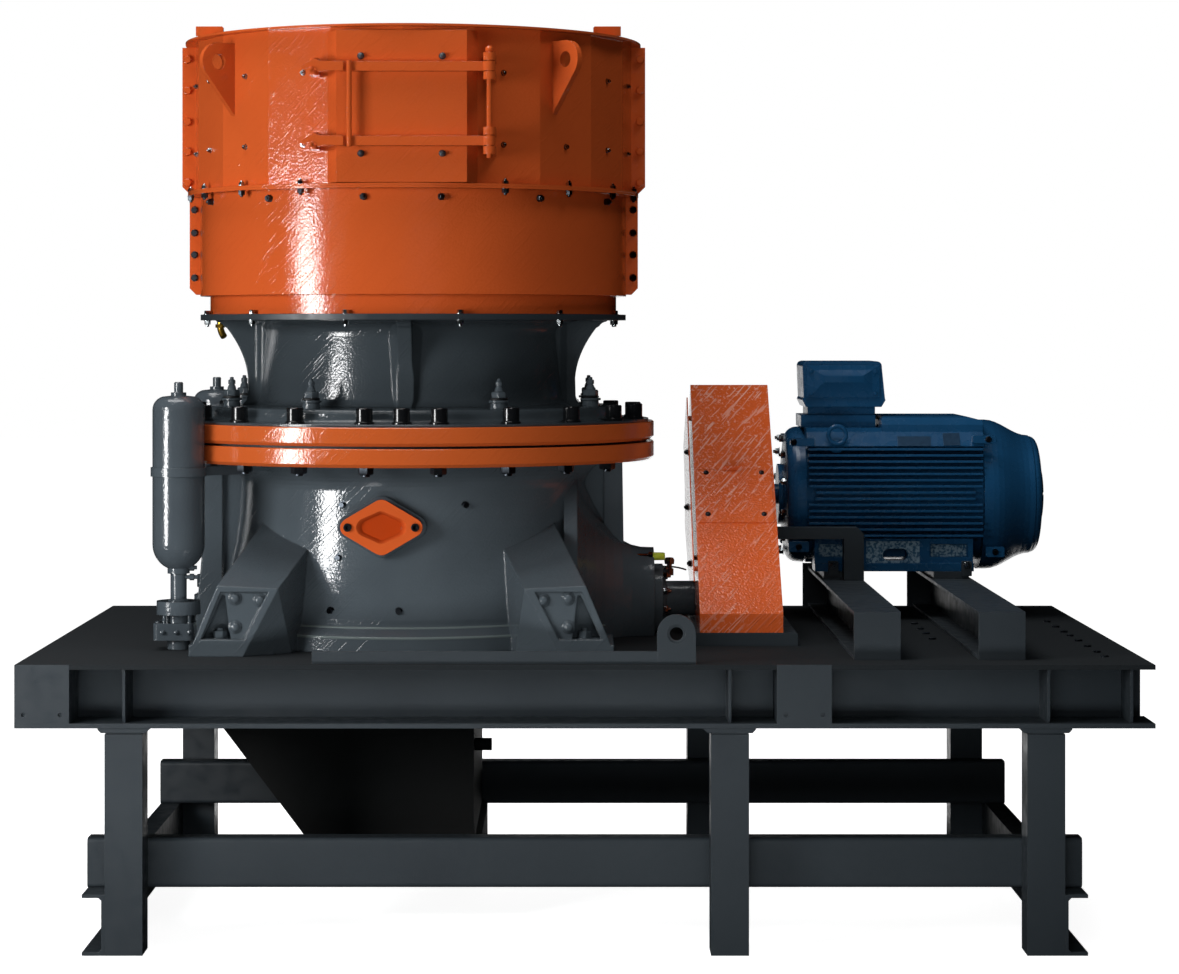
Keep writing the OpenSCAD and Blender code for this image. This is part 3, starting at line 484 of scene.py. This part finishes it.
ledge_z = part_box("upper_flange")[1].z + 0.012
cap_angles = [9 + 18 * i for i in range(20)] + [0, 180]
flanged = socket_screw(0.037, 0.07, 0.019)
turned(flanged, [(0, 0), (0.044, 0), (0.044, 0.008), (0.036, 0.012)])
fasten("flange_screws", flanged, [(round_about(a, 1.036, ledge_z), up) for a in cap_angles],
    black_enamel)
down = (0, 0, -1)
low_flange_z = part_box("lower_flange")[0].z
rib_sides = (90, 270)
fasten("flange_nuts", hexagon(0.062, 0.03, 0.036, 0.01),
    [(round_about(a, 1.005, low_flange_z), down) for a in cap_angles[:20]
        if min(abs(a - side) for side in rib_sides) > 10], black_oxide)

black_rubber, tree, shader, place = surface("black_rubber", Roughness=0.6)
bloom = add(tree, "ShaderNodeTexNoise", {"Vector": place, "Scale": per(12), "Detail": 3})
sooty = add(tree, "ShaderNodeMix", {mix_by: bloom.outputs["Fac"], mix_from: linear("#0c0d0e"),
    mix_to: linear("#1d1f21")}, data_type="RGBA")
tree.links.new(sooty.outputs[mixed], shader.inputs["Base Color"])
seal = bmesh.new()
seal_in, seal_out = 1.05, 1.085
seal_low, seal_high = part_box("lower_flange")[1].z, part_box("upper_flange")[0].z
turned(seal, [(seal_in, seal_low), (seal_out, seal_low), (seal_out, seal_high),
    (seal_in, seal_high), (seal_in, seal_low)], 96, at=Matrix.Translation((axis.x, 0, 0)))
bmesh.ops.remove_doubles(seal, verts=seal.verts, dist=weld_gap)
mount("flange_seal", seal, black_rubber)

# ------------------------------------------------------------ top shell and spider
# Waisted neck casting with the arms of the main shaft's top bearing across it, painted as
# the bottom shell is but darker, as painted shade under the hopper.

# A darker copy of the casting paint: painted shade.
shaded_neck_paint, tree, shader, place, skin = enamel("shaded_neck_paint", "#444c51", "#3a4146", 0.1, 0.03,
    260, 0.012)
brush_marks(tree, shader, place, skin, 0.6, 0.5)
coat(shaded_neck_paint, "top_shell", "spider")

# ------------------------------------------------------------ jack bolts
# Jacking screws on bosses of the top shell, four in front and four behind, each with a
# locknut, a rubber ring against dust and a pointed cover.

boss_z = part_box("upper_flange")[1].z + 0.072
boss_circle = 0.868
jack = bmesh.new()
turned(jack, [(0, 0), (0.04, 0), (0.037, 0.028), (0, 0.028)])
turned(jack, [(0, 0.028), (0.047, 0.028), (0.047, 0.038), (0, 0.038)])
turned(jack, [(0, 0.048), (0.036, 0.048), (0.036, 0.07), (0.031, 0.076), (0, 0.076)], 6)
turned(jack, [(0, 0.076), (0.021, 0.076), (0.018, 0.09), (0.012, 0.102), (0, 0.102)])
turned(jack, [(0, 0.102), (0.0165, 0.102), (0.0165, 0.118), (0.013, 0.122), (0, 0.122)], 6)
turned(jack, [(0, 0.122), (0.009, 0.122), (0.009, 0.131), (0.006, 0.134), (0, 0.134)], 16)
jack_places = [(round_about(a + side, boss_circle, boss_z), up)
    for a in (-70, -28.5, 28.5, 71) for side in (0, 180)]
fasten("jack_bolts", jack, jack_places, cast_paint)

collar_ring = bmesh.new()
turned(collar_ring, [(0, 0.038), (0.034, 0.038), (0.039, 0.041), (0.039, 0.046), (0.034, 0.049),
    (0, 0.049)])
fasten("jack_rings", collar_ring, jack_places, black_rubber)

# ------------------------------------------------------------ grease fitting
# Brass elbow with a hexagon collar, screwed up into the hopper plate beside the side
# rib and left to tarnish.

brass, tree, shader, place = surface("brass", Metallic=1, Roughness=0.3)
tarnish = add(tree, "ShaderNodeTexNoise", {"Vector": place, "Scale": per(15), "Detail": 3})
yellow = add(tree, "ShaderNodeMix", {mix_by: tarnish.outputs["Fac"], mix_from: linear("#b98a2c"),
    mix_to: linear("#e3b94f")}, data_type="RGBA")
tree.links.new(yellow.outputs[mixed], shader.inputs["Base Color"])
plate_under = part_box("hopper_plate")[0].z
elbow = bmesh.new()
elbow_x, elbow_y = axis.x - 0.9, -0.03
neck_z = plate_under - 0.018
pipe(elbow, [(elbow_x, elbow_y, plate_under), (elbow_x, elbow_y, neck_z)], 0.012)
pipe(elbow, bend((elbow_x, elbow_y, neck_z), (elbow_x, elbow_y, plate_under - 0.05),
    (elbow_x + 0.02, -0.05, plate_under - 0.075)), 0.016)
turned(elbow, [(0, 0), (0.022, 0), (0.022, 0.016), (0, 0.016)], 6,
    at=Matrix.Translation((elbow_x, elbow_y, plate_under - 0.034)))
mount("grease_elbow", elbow, brass)

# ------------------------------------------------------------ crushing chamber
# Fixed and moving liners of cast manganese steel, rubbed bright grey by the stone,
# under the orange cap of the main shaft's top bearing.

manganese_steel, tree, shader, place = surface("manganese_steel", Metallic=1, Roughness=0.45)
rub = add(tree, "ShaderNodeTexNoise", {"Vector": place, "Scale": per(50), "Detail": 5})
shine = add(tree, "ShaderNodeMix", {mix_by: rub.outputs["Fac"], mix_from: linear("#55585a"),
    mix_to: linear("#8d9092")}, data_type="RGBA")
pits = add(tree, "ShaderNodeBump", {"Height": rub.outputs["Fac"], "Strength": 0.4,
    "Distance": 0.004})
tree.links.new(shine.outputs[mixed], shader.inputs["Base Color"])
tree.links.new(pits.outputs[0], shader.inputs["Normal"])
coat(manganese_steel, "concave", "mantle")
coat(orange_gloss, "spider_cap")
cap_rim_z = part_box("spider_cap")[0].z + 0.078
fasten("spider_cap_bolts", hexagon(0.024, 0.016, 0.018),
    [(round_about(a, 0.235, cap_rim_z), up) for a in range(0, 360, 45)], zinc_plate)

# ------------------------------------------------------------ hopper plate and ring
# Rolled ring on a flat plate, bolted down through the top shell's upper flange with
# twelve zinc-plated bolts, their nuts below.

coat(satin_enamel, "hopper_plate")
coat(orange_gloss, "hopper_ring")
plate_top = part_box("hopper_plate")[1].z
plate_circle = 0.965
fasten("plate_bolts", hexagon(0.026, 0.016, 0.018),
    [(round_about(a, plate_circle, plate_top), up) for a in range(15, 360, 30)], zinc_plate)
fasten("plate_nuts", hexagon(0.026, 0.018, 0.018, 0.01),
    [(round_about(a, plate_circle, plate_under), down) for a in range(15, 360, 30)], zinc_plate)

# ------------------------------------------------------------ lower hopper
# Shell rolled in two halves that are bolted together down both sides; a row of
# stubby radial bolts under the joint holds the wear lining.

coat(orange_gloss, "hopper_lower")
joint_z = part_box("hopper_lower")[1].z


def seam_places(reach, heights):
    """Places of the bolts down both side seams, on the front and the rear of their bars."""
    return [((axis.x + sx * reach, sy * 0.017, z), (0, sy, 0))
        for sx in (-1, 1) for sy in (-1, 1) for z in heights]


fasten("lower_seam_bolts", hexagon(0.026, 0.016, 0.017),
    seam_places(1.02, (2.877, 2.984, 3.086, 3.193)), black_oxide)
fasten("lining_bolts", hexagon(0.027, 0.02, 0.016, 0.008),
    [(round_about(a, 0.987, joint_z - 0.047), outward(a)) for a in
        (-63.8, -36.8, -9.8, 9.8, 36.8, 63.8, 116, 143, 170, 190, 217, 244)], black_oxide)

# ------------------------------------------------------------ upper hopper
# Twenty-sided shell of bent plate on a thin joint ring, bolted down through it; two
# rows of bolts through the sides carry the rubber lining.

coat(orange_gloss, "hopper_upper")
ring_circle = 1.032
ring_lip = 0.01
ring_angles = [25.6, 44.5, 63, 81, 99, 117, 135, 153, 171]
ring_angles += [-a for a in ring_angles]
fasten("joint_bolts", hexagon(0.024, 0.014, 0.016, 0.008),
    [(round_about(a, ring_circle, joint_z + ring_lip), up) for a in ring_angles], zinc_plate)
fasten("joint_nuts", hexagon(0.026, 0.018, 0.017, 0.008),
    [(round_about(a, ring_circle, joint_z - ring_lip), down) for a in ring_angles], black_oxide)

corner_r = 1.015
half_side = 9
flat_r = corner_r * math.cos(math.radians(half_side))
side_places = [(round_about(s * a, flat_r, z), outward(s * a))
    for a in range(45, 172, 18) for z in (3.444, 3.756) for s in (-1, 1)]
beside_door = 27
off_lug = 0.02
side_places += [(round_about(s * beside_door, flat_r, z)
    + outward(s * (beside_door - 90)) * off_lug, outward(s * beside_door))
    for s in (-1, 1) for z in (3.442, 3.756)]
fasten("side_bolts", hexagon(0.019, 0.011, 0.013, 0.006), side_places, zinc_plate)
fasten("upper_seam_bolts", hexagon(0.034, 0.02, 0.02),
    seam_places(1.052, (3.319, 3.464, 3.603, 3.748, 3.892)), orange_gloss)

# ------------------------------------------------------------ door
# Flat plate door that swings on two straps; its lining is held by four painted studs.
# Each strap ends in a claw over a lug of the hopper, and a swing bolt clamps it there.

coat(orange_gloss, "door", "hinge_pin")
door_plate_y = axis.y - 1.04
fasten("door_studs", hexagon(0.023, 0.016, 0.0155, 0.01),
    [((axis.x + x, door_plate_y, z), front) for x in (-0.176, 0.176) for z in (3.397, 3.817)],
    cast_paint, "door")

latch_x = axis.x - 0.378
strap_mid = (3.449, 3.77)
claw = [(0.13, 0.0205), (0.03, 0.022), (0.005, 0.03), (-0.025, 0.016), (-0.048, 0.003),
    (-0.05, -0.012), (-0.036, -0.02), (-0.024, -0.008), (-0.006, -0.002), (0.012, -0.012),
    (0.02, -0.026), (0.05, -0.0205), (0.13, -0.0205)]
forks = bmesh.new()
for z in strap_mid:
    wrap(forks, [[(latch_x + x, y, z + dz) for x, dz in claw] for y in (-1.096, -1.081)])
bmesh.ops.recalc_face_normals(forks, faces=forks.faces)
mount("latch_forks", forks, orange_gloss, "door")

swing = bmesh.new()
turned(swing, [(0, 0), (0.007, 0), (0.007, 0.045), (0, 0.045)], 16)
turned(swing, [(0, 0.041), (0.0135, 0.041), (0.0135, 0.05), (0.012, 0.052), (0, 0.052)], 6)
turned(swing, [(0, 0.052), (0.007, 0.052), (0.007, 0.06), (0.005, 0.062), (0, 0.062)], 16)
fasten("swing_bolts", swing, [((latch_x - 0.008, -1.055, z - 0.016), front)
    for z in strap_mid], orange_gloss, "door")

# ------------------------------------------------------------ accumulators
# Pressed-steel bottles on forged valve blocks, painted like the castings but with no
# brush marks; each block has three plugs in its face, and two pipe stubs with union
# nuts above it.

bottle_enamel, tree, shader, place, skin = enamel("bottle_enamel", "#4e575d", "#42494f", 0.14,
    0.03, 260)
brush_marks(tree, shader, place, skin, 0.6, 0)
coat(bottle_enamel, "accumulator_front", "accumulator_rear", "accumulator_valves",
    "accumulator_bracket")

fittings = bmesh.new()
for side in ("front", "rear"):
    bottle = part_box("accumulator_" + side)
    mid = (bottle[0] + bottle[1]) / 2
    s = -1 if mid.y < 0 else 1
    lug_z = deck_top + 0.34
    for dx, dz in ((0.052, 0.02), (0.058, -0.022)):
        y, z = mid.y + s * 0.01, lug_z + dz
        pipe(fittings, [(mid.x + 0.03, y, z), (mid.x + 0.03 + dx, y, z)], 0.009)
        turned(fittings, [(0, 0), (0.015, 0), (0.015, 0.02), (0, 0.02)], 6,
            at=turned_right(mid.x + 0.05, y, z))
    for dx in (-0.06, 0.0, 0.06):
        turned(fittings, [(0, 0), (0.011, 0), (0.011, 0.01), (0.006, 0.012), (0.006, 0.02),
            (0, 0.02)], 6, at=Matrix.Translation((mid.x + dx, mid.y + s * 0.078, deck_top + 0.08))
            @ Matrix.Rotation(s * -math.pi / 2, 4, "X"))
mount("valve_fittings", fittings, bottle_enamel)

# ------------------------------------------------------------ belt guard
# Folded sheet box round the V-belts with a screwed panel over them, and a side plate on
# spacers. Its orange gloss carries painted highlights: pale flecks and hairs, more of them higher
# up.

guard_gloss, tree, shader, place, skin = enamel("guard_gloss", "#da622d", "#cd5828", 0.1, 0.05)
ridges = brush_marks(tree, shader, place, skin, 1, 1)
# Painted highlight: pale flecks and brush hairs, in patches that grow more common higher up.
patches = add(tree, "ShaderNodeTexNoise", {"Vector": place, "Scale": per(300), "Detail": 1})
share = add(tree, "ShaderNodeMapRange", {"Value": patches.outputs["Fac"], "From Min": 0.35,
    "From Max": 0.65, "To Min": 0.06, "To Max": 0.42})
height = add(tree, "ShaderNodeSeparateXYZ", {"Vector": place})
upper = add(tree, "ShaderNodeMapRange", {"Value": height.outputs["Z"], "From Min": 1.75,
    "From Max": 2.15, "To Min": 0, "To Max": 0.3})
glint_share = add(tree, "ShaderNodeMath", {0: share.outputs[0], 1: upper.outputs[0]})
fleck_noise = add(tree, "ShaderNodeTexNoise", {"Vector": place, "Scale": per(14), "Detail": 3,
    "Distortion": 0.6})
flecks = add(tree, "ShaderNodeMapRange", {"Value": fleck_noise.outputs["Fac"], "From Min": 0.57,
    "From Max": 0.66})
marks = add(tree, "ShaderNodeMath", {0: ridges.outputs[0], 1: flecks.outputs[0]},
    operation="MAXIMUM")
pale = add(tree, "ShaderNodeMath", {0: marks.outputs[0], 1: glint_share.outputs[0]},
    operation="MULTIPLY")
painted_glints = add(tree, "ShaderNodeMix", {mix_by: pale.outputs[0],
    mix_from: shader.inputs["Base Color"].links[0].from_socket, mix_to: linear("#efc3b4")},
    data_type="RGBA")
tree.links.new(painted_glints.outputs[mixed], shader.inputs["Base Color"])
coat(guard_gloss, "guard", "guard_cover")
coat(satin_enamel, "guard_base", "guard_arm")

left = (-1, 0, 0)
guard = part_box("guard")
lip = Vector((0, guard[0].y, deck_top + 0.143))
peak = Vector((0, 0.49, guard[1].z))
slope = (peak - lip).normalized()
off_slope = Vector((0, -slope.z, slope.y))
button = bmesh.new()
turned(button, [(0, 0), (0.0125, 0), (0.012, 0.004), (0.008, 0.0075), (0.005, 0.008)], 20)
turned(button, [(0.005, 0.008), (0.005, 0.004), (0, 0.004)], 6)
fasten("guard_screws", button, [(Vector((x, 0, 0)) + lip + slope * s + off_slope * 0.006,
    off_slope) for x in (0.573, 0.832) for s in (0.61, 0.879)], black_oxide)
fasten("side_plate_bolts", hexagon(0.024, 0.012, 0.02, 0.006),
    [((guard[0].x, y, z), left) for y, z in ((0.258, 2.055), (0.258, 1.794), (-0.1, 1.554))],
    black_oxide)

# ------------------------------------------------------------ motor rails
# Steel beams with slide bars on them, sprayed with the stand; each bar has a jacking
# clamp at its front that sets the belts' tension.

coat(satin_enamel, "motor_rail_left", "motor_rail_right", "motor_base")
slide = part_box("motor_base")
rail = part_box("motor_rail_left")


def slab(form, low, high, edge=0.003):
    """Adds a bar with chamfered long edges between two corners."""
    (x0, y0, z0), (x1, y1, z1) = low, high
    outline = [(x0 + edge, z0), (x1 - edge, z0), (x1, z0 + edge), (x1, z1 - edge),
        (x1 - edge, z1), (x0 + edge, z1), (x0, z1 - edge), (x0, z0 + edge)]
    wrap(form, [[(x, y, z) for x, z in outline] for y in (y1, y0)])


clamps = bmesh.new()
clamp_mid = (1.21, 1.855)
clamp_half_w = 0.024
clamp_face = slide[0].y - 0.026
for x in clamp_mid:
    slab(clamps, (x - clamp_half_w, clamp_face, rail[1].z),
        (x + clamp_half_w, slide[0].y, rail[1].z + 0.072))
mount("slide_clamps", clamps, satin_enamel)
fasten("slide_bolts", hexagon(0.024, 0.016, 0.018, 0.02),
    [((x, clamp_face, rail[1].z + 0.05), front) for x in clamp_mid], zinc_plate)

# ------------------------------------------------------------ motor
# Cast-iron finned frame, round bell at the belt end and sheet-steel fan cowl, all sprayed
# a half-gloss dark blue; the feet's hollows and pads keep a pale, pitted primer. Blank
# rating plates of stamped aluminium on its shoulder are smudged with the blue.

blue_gloss = enamel("blue_gloss", "#194a70", "#143f62", 0.25, 0.12, 200, 0.006)[0]
coat(blue_gloss, "motor_frame", "motor_drive_end", "motor_cowl", "terminal_box")

frame_low, frame_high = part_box("motor_frame")
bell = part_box("motor_drive_end")
motor_y = (frame_low.y + frame_high.y) / 2
motor_z = (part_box("motor_cowl")[0].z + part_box("motor_cowl")[1].z) / 2
shoulder = Vector((0, motor_y - 0.355, motor_z + 0.25))
shoulder_up = Vector((0, 0.055, bell[1].z - motor_z - 0.268)).normalized()
off_shoulder = Vector((0, -shoulder_up.z, shoulder_up.y))

plates = bmesh.new()
for x0, x1, low, high in ((1.529, 1.689, 0.0, 0.058), (1.751, 1.831, 0.004, 0.078)):
    corners = [shoulder + shoulder_up * low, shoulder + shoulder_up * high]
    proud = off_shoulder * 0.003
    outline = [corners[0], corners[0] + proud, corners[1] + proud, corners[1]]
    wrap(plates, [[(x, p.y, p.z) for p in outline] for x in (x0, x1)])
bmesh.ops.recalc_face_normals(plates, faces=plates.faces)

stamped_aluminium, tree, shader, place = surface("stamped_aluminium", Metallic=0.6, Roughness=0.4)
smudges = add(tree, "ShaderNodeTexNoise", {"Vector": place, "Scale": per(18), "Detail": 4})
faded = add(tree, "ShaderNodeMix", {mix_by: smudges.outputs["Fac"], mix_from: linear("#16324b"),
    mix_to: linear("#2b4a66")}, data_type="RGBA")
tree.links.new(faded.outputs[mixed], shader.inputs["Base Color"])
mount("rating_plates", plates, stamped_aluminium)

eye_at = Vector((1.2335, motor_y - 0.36, motor_z + 0.305))
eye_r = 0.043
eyebolt = bmesh.new()
loop = [eye_at + Vector((eye_r * math.cos(a), 0, eye_r * math.sin(a)))
    for a in (2 * math.pi * i / 32 for i in range(33))]
pipe(eyebolt, loop, 0.0105, 12)
turned(eyebolt, [(0, -0.02), (0.034, -0.02), (0.034, 0.0), (0.018, 0.006), (0.015, 0.03),
    (0, 0.03)], 24, at=Matrix.Translation(eye_at - off_shoulder * 0.035 - Vector((0, 0, 0.03)))
    @ off_shoulder.to_track_quat("Z", "Y").to_matrix().to_4x4())
bmesh.ops.recalc_face_normals(eyebolt, faces=eyebolt.faces)
mount("motor_eyebolt", eyebolt, blue_gloss)

ears = bmesh.new()
ear_bolts = []
for x0, x1, low, bolt_x in ((1.006, 1.122, 2.071, 1.022), (1.889, 2.005, 2.085, 1.966)):
    for s in (-1, 1):
        y = motor_y + s * 0.352
        slab(ears, (x0, y - 0.02, low), (x1, y + 0.02, low + 0.038), 0.006)
        ear_bolts.append(((bolt_x, y + s * 0.02, low + 0.019), (0, s, 0)))
for x0, x1, low in ((1.0, 1.1, 1.555), (1.96, 2.05, 1.53)):
    for s in (-1, 1):
        y = motor_y + s * 0.3
        slab(ears, (x0, y - 0.03, low), (x1, y + 0.03, low + 0.05), 0.006)
        ear_bolts.append((((x0 + x1) / 2, y + s * 0.03, low + 0.025), (0, s, 0)))
mount("motor_ears", ears, blue_gloss)
fasten("ear_bolts", hexagon(0.022, 0.013, 0.016), ear_bolts, black_oxide)

bell_circle = bell[1].z - motor_z - 0.05
rim_bolts = [((bell[1].x - 0.098, motor_y + bell_circle * math.sin(a),
    motor_z + bell_circle * math.cos(a)), left)
    for a in (math.radians(15 + 30 * i) for i in range(12))]
fasten("bell_bolts", hexagon(0.03, 0.02, 0.022, 0.01), rim_bolts, zinc_plate)

cast_primer, tree, shader, place = surface("cast_primer", Roughness=0.55)
pocks = add(tree, "ShaderNodeTexNoise", {"Vector": place, "Scale": per(11), "Detail": 3})
spots = add(tree, "ShaderNodeMapRange", {"Value": pocks.outputs["Fac"], "From Min": 0.42,
    "From Max": 0.58})
speckle = add(tree, "ShaderNodeMix", {mix_by: spots.outputs[0], mix_from: linear("#1f4864"),
    mix_to: linear("#7c93a1")}, data_type="RGBA")
pocked = add(tree, "ShaderNodeBump", {"Height": pocks.outputs["Fac"], "Strength": 0.4,
    "Distance": 0.002})
tree.links.new(speckle.outputs[mixed], shader.inputs["Base Color"])
tree.links.new(pocked.outputs[0], shader.inputs["Normal"])
hollows = bmesh.new()
for s in (-1, 1):
    for x0, x1 in ((1.146, 1.344), (1.691, 1.863)):
        y0, y1 = sorted((motor_y + s * 0.328, motor_y + s * 0.331))
        slab(hollows, (x0, y0, 1.534), (x1, y1, 1.593), 0.004)
mount("foot_hollows", hollows, cast_primer)

pads = bmesh.new()
pad_edge = [(1.375, 1.504), (1.634, 1.504), (1.634, 1.609), (1.375, 1.609)]
slot_r, slot_z = 0.0295, 1.544
slot_edge = [(x + s * slot_r * math.sin(a), slot_z - s * slot_r * math.cos(a))
    for s, x in ((1, 1.548), (-1, 1.485)) for a in (math.pi * i / 12 for i in range(13))]
for s in (-1, 1):
    y = motor_y + s * 0.3515
    edges = []
    for outline in (pad_edge, slot_edge):
        ring = [pads.verts.new((x, y, z)) for x, z in outline]
        edges += [pads.edges.new((a, b)) for a, b in zip(ring, ring[1:] + ring[:1])]
    bmesh.ops.triangle_fill(pads, edges=edges, use_beauty=True, normal=(0, s, 0))
pad_depth = 0.003
grown = bmesh.ops.extrude_face_region(pads, geom=pads.faces[:])
for vert in (v for v in grown["geom"] if isinstance(v, bmesh.types.BMVert)):
    vert.co.y += -pad_depth if vert.co.y > motor_y else pad_depth
bmesh.ops.recalc_face_normals(pads, faces=pads.faces)
mount("foot_pads", pads, cast_primer)

# ------------------------------------------------------------ fan grille
# Grille of blacked steel wire over the fan at the cowl's end: four rings on radial
# spokes.

cowl_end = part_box("motor_cowl")[1].x
wire_r = 0.005
hub = Vector((cowl_end - 0.0075, motor_y, motor_z))
grille = bmesh.new()
for radius in (0.03, 0.065, 0.1, 0.135):
    loop = [(cowl_end - 0.007, motor_y + radius * math.cos(a), motor_z + radius * math.sin(a))
        for a in (2 * math.pi * i / 48 for i in range(49))]
    pipe(grille, loop, wire_r, 8)
for a in (math.pi * i / 4 for i in range(8)):
    way = Vector((0, math.cos(a), math.sin(a)))
    pipe(grille, [hub + way * 0.028, hub + way * 0.14], wire_r, 8)
mount("fan_grille", grille, black_oxide)

# ------------------------------------------------------------ terminal box lid
# Cast lid with a bevelled raised face, closed with a screw at each corner and sprayed
# with the motor.

box_low, box_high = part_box("terminal_box")
lid = bmesh.new()
lid_steps = [(0.012, 0.0, 0.0), (0.012, 0.008, 0.0), (0.05, 0.014, 0.028), (0.085, 0.03, 0.066),
    (0.1, 0.034, 0.076)]
rows = []
for inset, proud, drop in lid_steps:
    x0, x1 = box_low.x + inset + 0.012, box_high.x - inset - 0.016
    z0, z1 = box_low.z + 0.145 + drop, box_high.z - inset * 0.6 - 0.012
    rows.append([(x, box_low.y - proud, z) for x, z in ((x0, z0), (x1, z0), (x1, z1), (x0, z1))])
wrap(lid, rows)
bmesh.ops.recalc_face_normals(lid, faces=lid.faces)
mount("terminal_lid", lid, blue_gloss, smooth=15)
fasten("terminal_screws", hexagon(0.018, 0.01, 0.014),
    [((x, box_low.y - 0.008, z), front) for x in (box_low.x + 0.048, box_high.x - 0.052)
        for z in (box_low.z + 0.165, box_high.z - 0.05)], blue_gloss)

# ------------------------------------------------------------ floor
# Plain white studio floor. It fades up to the white of the surround away from the
# plant, so no horizon shows, and it gives little light back.

floor_form = bmesh.new()
bmesh.ops.create_grid(floor_form, x_segments=1, y_segments=1, size=60)
floor_mesh = bpy.data.meshes.new("floor")
floor_form.to_mesh(floor_mesh)
floor_form.free()
floor = bpy.data.objects.new("floor", floor_mesh)
floor.location.z = -0.002
bpy.context.collection.objects.link(floor)


def seen_white(tree):
    """1 for the rays that show the surround: those from the camera, gloss and glass."""
    path = add(tree, "ShaderNodeLightPath")
    seen = add(tree, "ShaderNodeMath", {0: path.outputs["Is Camera Ray"],
        1: path.outputs["Is Glossy Ray"]}, operation="MAXIMUM")
    return add(tree, "ShaderNodeMath", {0: seen.outputs[0],
        1: path.outputs["Is Transmission Ray"]}, operation="MAXIMUM").outputs[0]


white_floor, tree, shader, place = surface("white_floor", Roughness=0.9)
shader.inputs["Specular IOR Level"].default_value = 0.0
shader.inputs["Emission Color"].default_value = linear("#ffffff")
shown = seen_white(tree)
dusk = add(tree, "ShaderNodeMix", {mix_by: shown, mix_from: linear("#6a6a6a"),
    mix_to: linear("#ffffff")}, data_type="RGBA")
tree.links.new(dusk.outputs[mixed], shader.inputs["Base Color"])
distance = add(tree, "ShaderNodeVectorMath", {0: place}, operation="LENGTH")
fade = add(tree, "ShaderNodeMapRange", {"Value": distance.outputs["Value"], "From Min": 3,
    "From Max": 7, "To Min": 0.93, "To Max": 1})
lit = add(tree, "ShaderNodeMath", {0: shown, 1: fade.outputs[0]}, operation="MULTIPLY")
tree.links.new(lit.outputs[0], shader.inputs["Emission Strength"])
floor_mesh.materials.append(white_floor)

# ------------------------------------------------------------ dark flags
# Black cloth hung round, behind and over the plant, outside the view. Only reflections
# see it: it keeps gloss paint deep in colour instead of milky. Behind, it leaves a low
# opening in the middle, where the white surround shows in the gloss.

flags = bmesh.new()
hem, top, far = 0.002, 13, 22
path = [(-7.6, far), (-3.6, 2.2), (-9, -1), (-9, -17), (9, -17), (9, -1), (3.6, 2.2), (7.6, far)]
low = [flags.verts.new((x, y, hem)) for x, y in path]
high = [flags.verts.new((x, y, top)) for x, y in path]
for i in range(7):
    flags.faces.new((low[i], low[i + 1], high[i + 1], high[i]))
for x0, x1, bottom in ((-7.6, -3, hem), (-3, 2, 2.5), (2, 7.6, hem)):
    flags.faces.new([flags.verts.new((x, far, z))
        for x, z in ((x0, bottom), (x1, bottom), (x1, top), (x0, top))])
flags.faces.new(high)
flags.faces.new(low[1:7])
flags_mesh = bpy.data.meshes.new("flags")
flags.to_mesh(flags_mesh)
flags.free()
cloth = bpy.data.objects.new("flags", flags_mesh)
bpy.context.collection.objects.link(cloth)
for kind in ("camera", "diffuse", "transmission", "volume_scatter", "shadow"):
    setattr(cloth, "visible_" + kind, False)

# The nap is drawn at 60 mm, far coarser than it is, so that it shows in the gloss.
black_cloth, tree, shader, place = surface("black_cloth", Roughness=1)
shader.inputs["Specular IOR Level"].default_value = 0.0
nap = add(tree, "ShaderNodeTexNoise", {"Vector": place, "Scale": per(60)})
pile = add(tree, "ShaderNodeMix", {mix_by: nap.outputs["Fac"], mix_from: linear("#060606"),
    mix_to: linear("#101010")}, data_type="RGBA")
tree.links.new(pile.outputs[mixed], shader.inputs["Base Color"])
flags_mesh.materials.append(black_cloth)

# ------------------------------------------------------------ light
# A soft key to the front left, weak fills in front, low down and above the motor, a broad
# sheet overhead, and a white surround. Gloss shows a tall strip beside the key, which
# lights nothing matt, and never shows the key or the fills.

studio = bpy.data.worlds.new("studio")
studio.use_nodes = True
bpy.context.scene.world = studio
tree = studio.node_tree
tree.nodes.clear()
level = add(tree, "ShaderNodeMapRange", {"Value": seen_white(tree), "To Min": 0.02, "To Max": 1.0})
air = add(tree, "ShaderNodeBackground", {"Color": (1, 1, 1, 1), "Strength": level.outputs[0]})
add(tree, "ShaderNodeOutputWorld", {"Surface": air.outputs[0]})


def lamp(name, place, aim, width, height, watts, spread=180):
    """A soft rectangular lamp that points at aim, its light spread over that many degrees."""
    light = bpy.data.lights.new(name, "AREA")
    light.shape = "RECTANGLE"
    light.size = width
    light.size_y = height
    light.energy = watts
    light.spread = math.radians(spread)
    fixture = bpy.data.objects.new(name, light)
    fixture.location = place
    fixture.rotation_euler = (Vector(aim) - Vector(place)).to_track_quat("-Z", "Y").to_euler()
    bpy.context.collection.objects.link(fixture)
    return fixture


strip = lamp("strip", (-5.3, -3.7, 2.25), (-0.8, 0, 2.25), 1.1, 2.2, 250)
strip.visible_diffuse = False
lamp("sheet", (-3, -1, 11), (-2, -0.5, 0), 6, 6, 640)
for fixture in (
        lamp("key", (-5.2, -4.9, 3.1), (-0.8, 0, 2.2), 2.3, 2.3, 258),
        lamp("fill_front", (0.3, -7.5, 2.9), (0, 0, 2.6), 2.3, 2.3, 56),
        lamp("fill_low", (-0.9, -4.6, 0.4), (-0.6, -1.3, 0.9), 6.2, 0.6, 20, 62),
        lamp("fill_top", (2.5, -2.5, 8), (1, 0, 1.5), 2.3, 2.3, 68)):
    fixture.visible_glossy = False
